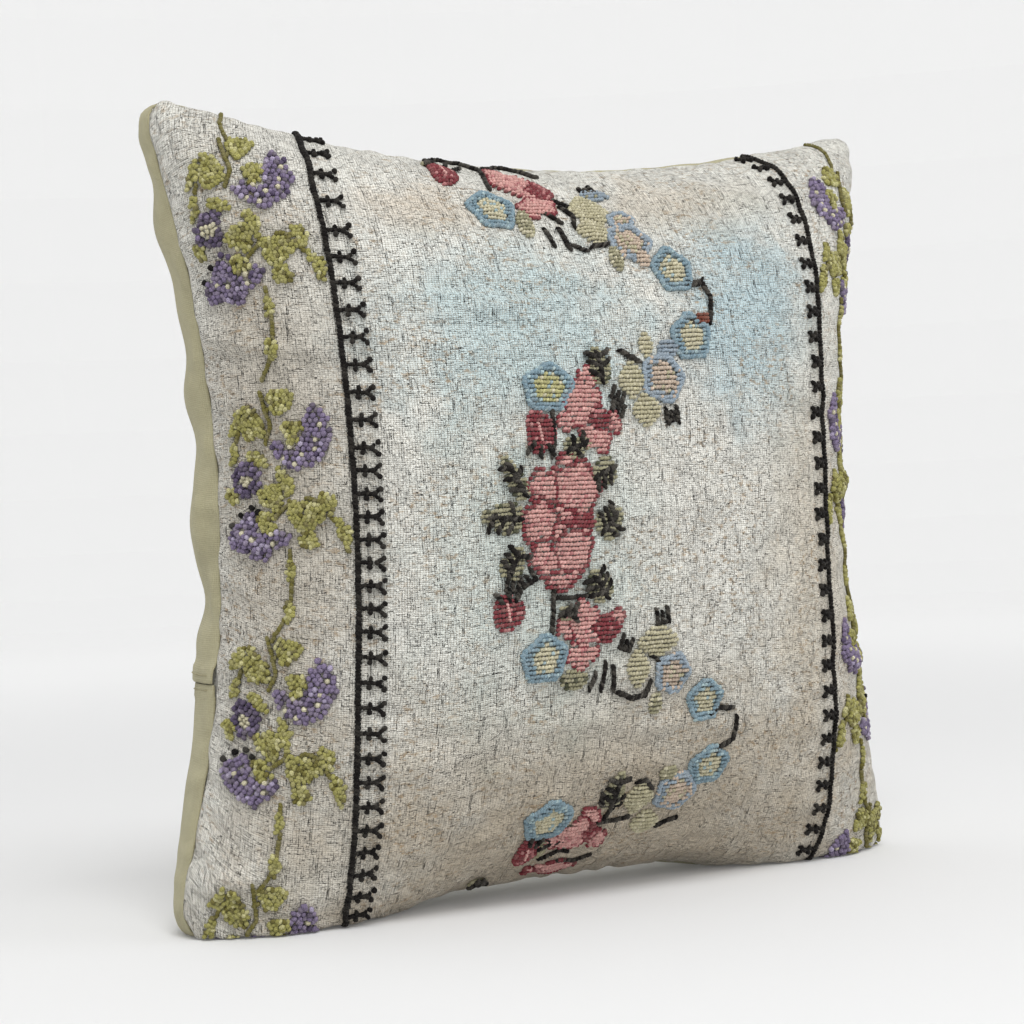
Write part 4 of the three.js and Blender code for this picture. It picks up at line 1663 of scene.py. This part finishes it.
@dataclass
class BorderVine:
    """The vine in one border: green leaves, plum crescents and small single flowers."""

    side: str
    surface: Surface
    wool: bpy.types.Material
    crescents: tuple[float, ...] = (412.0, 280.0, 152.0, 27.0)
    seed: int = 61

    def at(self, x: float, y: float, level: float) -> Point:
        """Place a point that is drawn for the left border's third group."""
        across = -x if self.side == "right" else x
        return across, y - 152.0 + level

    def group(self, level: float) -> Needlework:
        """Sew one group of the vine about the height of its upper crescent."""
        work = Needlework(self.seed + int(level))
        mirror = -1 if self.side == "right" else 1
        for path in VINE_STEMS:
            work.rope([self.at(x, y, level) for x, y in path], Wool.OLIVE, 2.6, 1.8, 0.5, lift=0.4)
        for x, y, width, height, turn in VINE_LEAVES:
            outline = oval(*self.at(x, y, level), width, height, 3, 0.16, mirror * math.radians(turn))
            work.scatter(outline, VINE_GREENS, 2.1, 3.5, 2.7, mirror * math.radians(turn + 60))
        for outline, creams in ((UPPER_CRESCENT, UPPER_CREAMS), (LOWER_CRESCENT, LOWER_CREAMS)):
            work.scatter(
                np.array([self.at(x, y, level) for x, y in outline]), VINE_PLUMS, 2.8, 3.4, 3.1, 0.8
            )
            work.knots([self.at(x, y, level) for x, y in creams], (Wool.CREAM,), 3.0)
        work.knots([self.at(x, y, level) for x, y in DARK_KNOTS], (Wool.BLACK, Wool.DARK_PLUM), 3.4)
        x, y = self.at(-215, 128, level)
        work.scatter(oval(x, y, 15, 18), (Wool.DARK_PLUM, Wool.PLUM), 2.8, 3.6, 3.0, 0.8)
        work.scatter(oval(x, y - 1, 8, 6), (Wool.CREAM,), 2.4, 2.8, 2.5)
        return work

    def build(self) -> bpy.types.Object:
        """Sew the whole vine from the upper seam to the lower one."""
        work = Needlework(self.seed)
        for level in self.crescents:
            for row in self.group(level).rows:
                if 6 < row[1] < PATTERN.height - 4:
                    work.rows.append(row)
        top = [self.at(x, y, 152) for x, y in ((-198, 438), (-201, 450), (-200, 463))]
        work.rope(top, Wool.OLIVE, 2.0, 1.6, 0.5)
        piece = work.build(f"{self.side}_vine_stitches", self.surface, StitchShape())
        finish_piece(piece, self.wool, "vine_wool", f"{self.side}_border_vine")
        return piece


@dataclass
class BorderLine:
    """The black line down one side of the middle, with a row of small sprigs on its inner side."""

    side: str
    surface: Surface
    wool: bpy.types.Material
    path: tuple[Point, ...]
    width: float
    levels: Array
    reach: float
    seed: int

    def sprig(self, work: Needlework, x: float, y: float, way: float) -> None:
        """Sew one sprig: an arm from the line, and the strokes that spread from it."""
        reach = self.reach
        strokes = (
            ((0.0, 0.0), (0.42, 0.02), (0.74, 0.0)),
            ((0.46, 0.14), (0.42, -0.16)),
            ((0.74, 0.0), (1.0, 0.2)),
            ((0.76, 0.0), (0.98, -0.22)),
        )
        for stroke in strokes:
            points = [(x + way * reach * a, y + reach * b) for a, b in stroke]
            work.rope(points, Wool.BLACK, 2.5, 1.7, 0.4 * way, lift=0.3)
            work.knots(points[-1:], (Wool.BLACK,), 2.9)

    def build(self) -> bpy.types.Object:
        """Sew the line and its sprigs."""
        work = Needlework(self.seed, fading=0.05)
        work.rope(self.path, Wool.BLACK, self.width, 1.9, 0.9, lift=0.5)
        path = np.array(self.path)[::-1]
        way = 1.0 if self.side == "left" else -1.0
        for y in self.levels:
            x = float(np.interp(y, path[:, 1], path[:, 0]))
            self.sprig(work, x, y, way)
        piece = work.build(f"{self.side}_line_stitches", self.surface, StitchShape())
        finish_piece(piece, self.wool, "black_wool", f"{self.side}_border_line")
        return piece


# Cover ----------------------------------------------------------------------------------------
# Each cloth's gap colour is painted shade between its threads.
LINEN = WovenCloth(
    name="worn_linen", thread=linear((228, 227, 219)), gap=linear((156, 147, 130)),
    warp_pitch=1.5, weft_pitch=1.05, wander=2.0, slub=0.22, depth=0.5, crinkle=3.2, speckle=0.8,
    tone_share=0.14,
    stains=(
        # This first patch makes the lower part of the front browner and darker towards the bottom.
        Stain((0, -190), (330, 150), linear((178, 162, 138)), 0.8),
        Stain((-205, 20), (70, 280), linear((186, 178, 164)), 0.8),
        Stain((95, 115), (80, 100), linear((172, 198, 206)), 0.85, 1.4),
        Stain((-60, 100), (120, 80), linear((182, 206, 210)), 0.75, 1.4),
        Stain((-95, 175), (70, 26), linear((196, 164, 122)), 0.3, 2.4),
        Stain((75, 185), (80, 36), linear((196, 166, 124)), 0.3, 2.4),
        Stain((150, -40), (80, 180), linear((198, 186, 166)), 0.6, 1.4),
        Stain((-60, -20), (100, 130), linear((190, 206, 202)), 0.6, 1.4),
    ),
)
CANVAS = WovenCloth(
    name="khaki_canvas", thread=linear((172, 166, 134)), gap=linear((108, 100, 72)),
    warp_pitch=1.0, weft_pitch=1.15, wander=0.7, slub=0.12, depth=0.22, gap_shade_share=0.55, tone_share=0.06,
)
INSERT_COTTON = WovenCloth(
    name="insert_cotton", thread=linear((236, 234, 228)), gap=linear((190, 186, 178)),
    warp_pitch=0.45, weft_pitch=0.45, wander=0.3, slub=0.1, depth=0.08, gap_shade_share=0.4, tone_share=0.04,
)


@dataclass
class Cover:
    """The embroidered front and the two canvas panels of the back."""

    form: PillowForm
    effects: SharedEffects

    def build(self) -> dict[str, ClothPanel]:
        """Simulate, refine and dress the three panels.

        Returns:
            The panels by name.
        """
        form = self.form
        front = ClothPanel("cover_front", form, form.front, lambda u: 0 * u - 1, lambda u: 0 * u + 1)
        upper = ClothPanel(
            "cover_back_upper", form, form.back, lambda u: form.hem(u, 1), lambda u: 0 * u + 1,
            rows=69, fine_rows=121, fine_columns=161,
        )
        lower = ClothPanel(
            "cover_back_lower", form, form.back, lambda u: 0 * u - 1, lambda u: form.hem(u, -1),
            rows=31, fine_rows=71, fine_columns=161,
        )
        hem = Hem()

        def upper_relief(a: Array, b: Array, points: Array) -> Array:
            """Add the upper hem to the relief of the back."""
            return back_relief(a, b, points) + hem.relief(b * upper.flat_height, points[..., 0], True)

        def lower_relief(a: Array, b: Array, points: Array) -> Array:
            """Add the lower hem to the relief of the back."""
            return back_relief(a, b, points) + hem.relief((1 - b) * lower.flat_height, points[..., 0], False)

        for panel, relief in ((front, front_relief), (upper, upper_relief), (lower, lower_relief)):
            panel.swell()
            panel.refine(relief)
        linen, canvas = LINEN.build(self.effects), CANVAS.build(self.effects)
        for panel, material, slot, node in (
            (front, linen, "linen", "front_panel"),
            (upper, canvas, "canvas", "back_upper_panel"),
            (lower, canvas, "canvas", "back_lower_panel"),
        ):
            piece = panel.build()
            finish_piece(piece, material, slot, node)
        return {"front": front, "upper": upper, "lower": lower}


@dataclass
class HemStitching:
    """The row of machine stitches that holds each hem of the back."""

    panels: dict[str, ClothPanel]
    material: bpy.types.Material
    from_fold: float = 4.5
    pitch: float = 3.4
    length: float = 2.7

    def build(self) -> None:
        """Sew both rows."""
        for name, panel, level in (
            ("upper_hem_stitches", self.panels["upper"], self.from_fold),
            ("lower_hem_stitches", self.panels["lower"], -self.from_fold),
        ):
            height = panel.flat_height
            up = level / height if level > 0 else 1 + level / height
            half = panel.flat_width / 2
            work = Needlework(71, across=lambda x: x / half, up=lambda y: y, relief=0.5, fading=0.0)
            for x in np.arange(-half + 5, half - 4, self.pitch):
                work.rows.append([x, up, 0.0, self.length, 0.55, 0.0, *linear(Wool.CANVAS_THREAD.value)])
            piece = work.build(name, panel.surface, StitchShape(bluntness=0.6, arch=0.3))
            finish_piece(piece, self.material, "canvas")


# Insert ---------------------------------------------------------------------------------------
@dataclass
class Insert:
    """The white cotton case and the loose filling inside the cover."""

    panels: dict[str, ClothPanel]
    form: PillowForm
    effects: SharedEffects
    case_inset: float = 3.6
    fill_inset: float = 5.4
    dip: float = 5.5
    columns: int = 97
    rows: int = 97

    def shrunk(self, points: Array, inset: float, back: bool) -> Array:
        """Move points of the cover inwards.

        Args:
            points: The points.
            inset: How far.
            back: True for the back, which also gives way behind the zip.

        Returns:
            The points.
        """
        form = self.form
        centre = np.array([0.0, 0.0, form.half_height])
        scale = np.array(
            [1 - inset / form.half_width, 1 - inset / form.front.rise, 1 - inset / form.half_height]
        )
        made = centre + (points - centre) * scale
        if back:
            away = np.abs(made[..., 2] - form.zip.level)
            made[..., 1] -= self.dip * np.exp(-((away / 22) ** 2)) * smooth(8, 40, made[..., 1])
        return made

    def front_points(self, inset: float) -> Array:
        """Give a grid of the front, moved inwards."""
        a, b = np.meshgrid(crowded(self.columns, 0.8), (crowded(self.rows, 0.8) + 1) / 2)
        return self.shrunk(self.panels["front"].surface.at(a, b), inset, False)

    def back_points(self, inset: float) -> Array:
        """Give a grid of the back across both panels, moved inwards."""
        upper, lower = self.panels["upper"], self.panels["lower"]
        across = crowded(self.columns, 0.8)
        below = self.rows // 3
        a, b = np.meshgrid(across, np.sin(np.linspace(0, 1, below) * math.pi / 2))
        first = lower.surface.at(a, 1 - np.cos(b * math.pi / 2))
        a, b = np.meshgrid(across, np.sin(np.linspace(0, 1, self.rows - below + 1)[1:] * math.pi / 2))
        second = upper.surface.at(a, b)
        return self.shrunk(np.concatenate([first, second]), inset, True)

    def mesh(self, name: str, points: Array) -> bpy.types.Object:
        """Make a grid of points a mesh."""
        rows, columns = points.shape[:2]
        panel = self.panels["front"]
        obj, i, j = panel.grid_object(name, columns, rows)
        obj.data.vertices.foreach_set("co", (points[j, i] * MM).astype(np.float32).ravel())
        loops = np.zeros(len(obj.data.loops), np.int32)
        obj.data.loops.foreach_get("vertex_index", loops)
        flat = np.stack([
            (i / (columns - 1) - 0.5) * panel.flat_width * MM,
            (j / (rows - 1) - 0.5) * panel.flat_height * MM
        ], -1)
        layer = obj.data.uv_layers.active or obj.data.uv_layers.new(name="cloth")
        layer.data.foreach_set("uv", flat[loops].astype(np.float32).ravel())
        obj.data.update()
        return obj

    def build(self) -> None:
        """Build the two halves of the case and the filling."""
        cotton = INSERT_COTTON.build(self.effects)
        halves = {
            "front": self.front_points(self.case_inset),
            "back": self.back_points(self.case_inset),
        }
        for side, points in halves.items():
            piece = self.mesh(f"insert_case_{side}", points)
            apply_modifier(piece, "SOLIDIFY", thickness=0.6 * MM, offset=-1.0)
            finish_piece(piece, cotton, "insert_cloth", f"insert_{side}")
        front = self.mesh("filling", self.front_points(self.fill_inset))
        back = self.mesh("filling_back", self.back_points(self.fill_inset))
        deselect_all()
        back.select_set(True)
        front.select_set(True)
        bpy.context.view_layer.objects.active = front
        bpy.ops.object.join()
        self.close(front)
        finish_piece(front, LooseFibre().build(), "fibre", "fibre_fill")

    def close(self, obj: bpy.types.Object) -> None:
        """Join the open edges of the two halves of the filling."""
        make_active(obj)
        bpy.ops.object.mode_set(mode="EDIT")
        bpy.ops.mesh.select_all(action="DESELECT")
        bpy.ops.mesh.select_mode(type="EDGE")
        bpy.ops.mesh.select_non_manifold()
        bpy.ops.mesh.bridge_edge_loops()
        bpy.ops.mesh.select_all(action="SELECT")
        bpy.ops.mesh.normals_make_consistent(inside=False)
        bpy.ops.object.mode_set(mode="OBJECT")


# Zip ------------------------------------------------------------------------------------------
@dataclass
class Zip:
    """The zip's coils, tapes, stops, slider and pull tab."""

    line: ZipLine
    pitch: float = 1.5
    coil_length: float = 2.2
    coil_width: float = 1.15
    coil_height: float = 1.6

    def coil(self, upper: bool) -> bpy.types.Object:
        """Lay the loops of one row of the coil."""
        node = "zip_upper_teeth" if upper else "zip_lower_teeth"
        low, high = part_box(node)
        points, faces, _ = StitchShape(sides=8, rings=6, bluntness=0.5, arch=0.0).build()
        middle_z = (low.z + high.z) / 2 / MM
        top = self.line.radius
        end = math.asin(high.x / MM / self.line.radius) - 0.001
        count = round(2 * end * self.line.radius / self.pitch)
        angles = np.linspace(-end, end, count) + (0.0 if upper else self.pitch / 2 / self.line.radius)
        angles = angles[np.abs(angles) <= end]
        placed = []
        for angle in angles:
            out = np.array([math.sin(angle), math.cos(angle), 0.0])
            along = np.array([math.cos(angle), -math.sin(angle), 0.0])
            rise = np.array([0.0, 0.0, 1.0])
            centre = np.array([0, self.line.axis_y, middle_z]) + out * (top - self.coil_height / 2 - 0.05)
            lean = along * (0.16 if upper else -0.16)
            local = (
                centre + np.outer(points[:, 0] * self.coil_length, rise + lean)
                + np.outer(points[:, 1] * self.coil_width, along)
                + np.outer(points[:, 2] * self.coil_height, out)
            )
            placed.append(local)
        mesh = bpy.data.meshes.new("coil")
        size = len(points)
        mesh.from_pydata((np.concatenate(placed) * MM).tolist(), [], [
            tuple(v + k * size for v in face) for k in range(len(placed)) for face in faces
        ])
        obj = bpy.data.objects.new("zip_coil_upper" if upper else "zip_coil_lower", mesh)
        bpy.context.scene.collection.objects.link(obj)
        make_active(obj)
        bpy.ops.object.mode_set(mode="EDIT")
        bpy.ops.mesh.select_all(action="SELECT")
        bpy.ops.mesh.normals_make_consistent(inside=False)
        bpy.ops.object.mode_set(mode="OBJECT")
        return obj

    def dress(self, name: str, material: bpy.types.Material, bevel: float) -> None:
        """Give a CAD node its material, and round its edges.

        Args:
            name: The node.
            material: Its material.
            bevel: The radius of its edges; 0 leaves them sharp.
        """
        node = frame["nodes"][name]
        for slot in node.material_slots:
            slot.material = material
        if bevel > 0:
            weld = node.modifiers.new("weld", "WELD")
            weld.merge_threshold = 0.00002
            edge = node.modifiers.new("bevel", "BEVEL")
            edge.width = bevel * MM
            edge.segments = 3
            edge.limit_method = "ANGLE"
            edge.angle_limit = math.radians(35)
            edge.harden_normals = True
        LOG.info("%s: dressed", name)

    def build(self) -> None:
        """Build the coils, and dress what the frame holds."""
        nylon = Nylon().build()
        metal = Plated().build()
        tape = WovenTape().build()
        for upper, node in ((True, "zip_upper_teeth"), (False, "zip_lower_teeth")):
            finish_piece(self.coil(upper), nylon, "zip_teeth", node)
        for name in ("zip_upper_tape", "zip_lower_tape"):
            self.dress(name, tape, 0.0)
        for name in ("zip_top_stop_upper", "zip_top_stop_lower", "zip_bottom_stop"):
            self.dress(name, metal, 0.25)
        self.dress("zip_slider_body", metal, 0.3)
        self.dress("zip_slider_bridge", metal, 0.3)
        self.dress("zip_pull_tab", metal, 0.3)


# Studio ---------------------------------------------------------------------------------------
@dataclass
class Studio:
    """Camera, floor and soft lights."""

    place: tuple[float, float, float] = (-0.66423, -1.12066, 0.21762)
    pan: float = 29.8224
    tilt: float = -0.0528
    roll: float = -2.5236
    lens: float = 79.47
    floor_radius: float = 3.0
    floor_drop: float = 0.0006
    cove_radius: float = 1.5
    cove_steps: int = 10
    wall_height: float = 3.0
    paper_shade: float = 0.69
    glow_from: float = 0.6
    glow_to: float = 2.6
    aim_height: float = 0.22

    def camera(self) -> None:
        """Set the camera up."""
        data = bpy.data.cameras.new("camera")
        data.lens = self.lens
        data.sensor_width = 36.0
        data.clip_start, data.clip_end = 0.05, 60.0
        camera = bpy.data.objects.new("camera", data)
        pan, tilt, roll = (math.radians(a) for a in (self.pan, self.tilt, self.roll))
        forward = Vector((math.sin(pan) * math.cos(tilt), math.cos(pan) * math.cos(tilt), math.sin(tilt)))
        right = Vector((math.cos(pan), -math.sin(pan), 0.0))
        up = right.cross(forward)
        turned_right = right * math.cos(roll) + up * math.sin(roll)
        turned_up = up * math.cos(roll) - right * math.sin(roll)
        camera.matrix_world = Matrix((
            (turned_right.x, turned_up.x, -forward.x, self.place[0]),
            (turned_right.y, turned_up.y, -forward.y, self.place[1]),
            (turned_right.z, turned_up.z, -forward.z, self.place[2]),
            (0.0, 0.0, 0.0, 1.0),
        ))
        bpy.context.scene.collection.objects.link(camera)
        bpy.context.scene.camera = camera

    def floor(self) -> None:
        """Lay a wide floor that curves up into a low wall all round; it shines as painted light, faintly
        near the pillow and more strongly far off.
        """
        deselect_all()
        bpy.ops.mesh.primitive_circle_add(
            vertices=96, radius=self.floor_radius, fill_type="NGON", location=(0, 0, -self.floor_drop)
        )
        floor = bpy.context.object
        floor.name = "studio_floor"
        bpy.ops.object.mode_set(mode="EDIT")
        bpy.ops.mesh.select_all(action="SELECT")
        for k in range(1, self.cove_steps + 1):
            before = math.pi / 2 * (k - 1) / self.cove_steps
            now = math.pi / 2 * k / self.cove_steps
            reached = self.floor_radius + self.cove_radius * math.sin(before)
            growth = (self.floor_radius + self.cove_radius * math.sin(now)) / reached
            rise = self.cove_radius * (math.cos(before) - math.cos(now))
            bpy.ops.mesh.extrude_edges_move()
            bpy.ops.transform.resize(value=(growth, growth, 1.0), center_override=(0, 0, 0))
            bpy.ops.transform.translate(value=(0, 0, rise))
            if k == 1:
                bpy.ops.mesh.select_mode(type="EDGE")
        bpy.ops.mesh.extrude_edges_move()
        bpy.ops.transform.translate(value=(0, 0, self.wall_height))
        bpy.ops.object.mode_set(mode="OBJECT")
        material, nodes, shader = new_material("studio_paper")
        # Painted light: the paper's emission stands in for a wash lamp on the backdrop, weak near the pillow
        # and strong far away, so the backdrop is bright without lighting the pillow.
        place = nodes.add("TexCoord").outputs["Object"]
        away = nodes.add("VectorMath", {0: place}, operation="LENGTH").outputs["Value"]
        far = nodes.ramp(away, self.glow_from, self.glow_to)
        glow = nodes.mix(far, (0.06, 0.06, 0.06, 1.0), (0.27, 0.27, 0.268, 1.0))
        nodes.feed(shader.inputs["Emission Color"], glow)
        shader.inputs["Emission Strength"].default_value = 1.0
        shader.inputs["Base Color"].default_value = four((self.paper_shade,) * 3)
        shader.inputs["Roughness"].default_value = 0.9
        floor.data.materials.append(material)

    def light(self, name: str, place: tuple[float, float, float], size: float, power: float) -> None:
        """Hang a square soft light that points at the pillow.

        Args:
            name: Its name.
            place: Where it hangs.
            size: Its side.
            power: Its power in watts.
        """
        data = bpy.data.lights.new(name, "AREA")
        data.shape = "SQUARE"
        data.size = size
        data.energy = power
        light = bpy.data.objects.new(name, data)
        light.location = place
        aim = Vector((0, 0, self.aim_height)) - Vector(place)
        light.rotation_euler = aim.to_track_quat("-Z", "Y").to_euler()
        bpy.context.scene.collection.objects.link(light)

    def build(self) -> None:
        """Set up the floor, the lights and the pale surroundings."""
        self.floor()
        self.light("key_light", (-0.5, -1.5, 2.7), 1.3, 52.0)
        self.light("fill_light", (1.9, -1.6, 1.4), 1.6, 14.0)
        self.light("back_light", (-1.2, 1.9, 1.8), 1.8, 6.0)
        world = bpy.data.worlds.new("pale_room")
        world.use_nodes = True
        background = world.node_tree.nodes["Background"]
        background.inputs[0].default_value = (0.93, 0.935, 0.94, 1.0)
        background.inputs[1].default_value = 0.55
        scene = bpy.context.scene
        scene.world = world
        scene.view_settings.view_transform = "Standard"


def main() -> None:
    """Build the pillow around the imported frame."""
    logging.basicConfig(level=logging.INFO, format="%(name)s: %(message)s")
    studio = Studio()
    studio.camera()
    form = PillowForm()
    effects = SharedEffects.build()
    panels = Cover(form, effects).build()
    wool = WoolYarn().build(effects)
    front = panels["front"].surface
    counts = np.arange(33)
    BorderLine(
        "left", front, wool,
        ((-155, 466), (-156, 400), (-156, 300), (-155, 150), (-152, 90), (-150, 30), (-150, 4)),
        3.3, np.interp(counts, (0, 4, 12, 20, 32), (454, 385, 275, 184, 33)), 13.5, 81,
    ).build()
    BorderLine(
        "right", front, wool,
        ((153, 466), (153, 380), (155, 250), (153, 150), (156, 60), (152, 4)),
        2.5, np.linspace(457, 35, 31), 11.5, 82,
    ).build()
    for side, levels in (("left", (415.0, 280.0, 152.0, 27.0)), ("right", (412.0, 281.0, 152.0, 27.0))):
        BorderVine(side, front, wool, levels).build()
    Garland(front, wool).build()
    HemStitching(panels, wool).build()
    Insert(panels, form, effects).build()
    Zip(form.zip).build()
    studio.build()


if __name__ == "__main__":
    main()
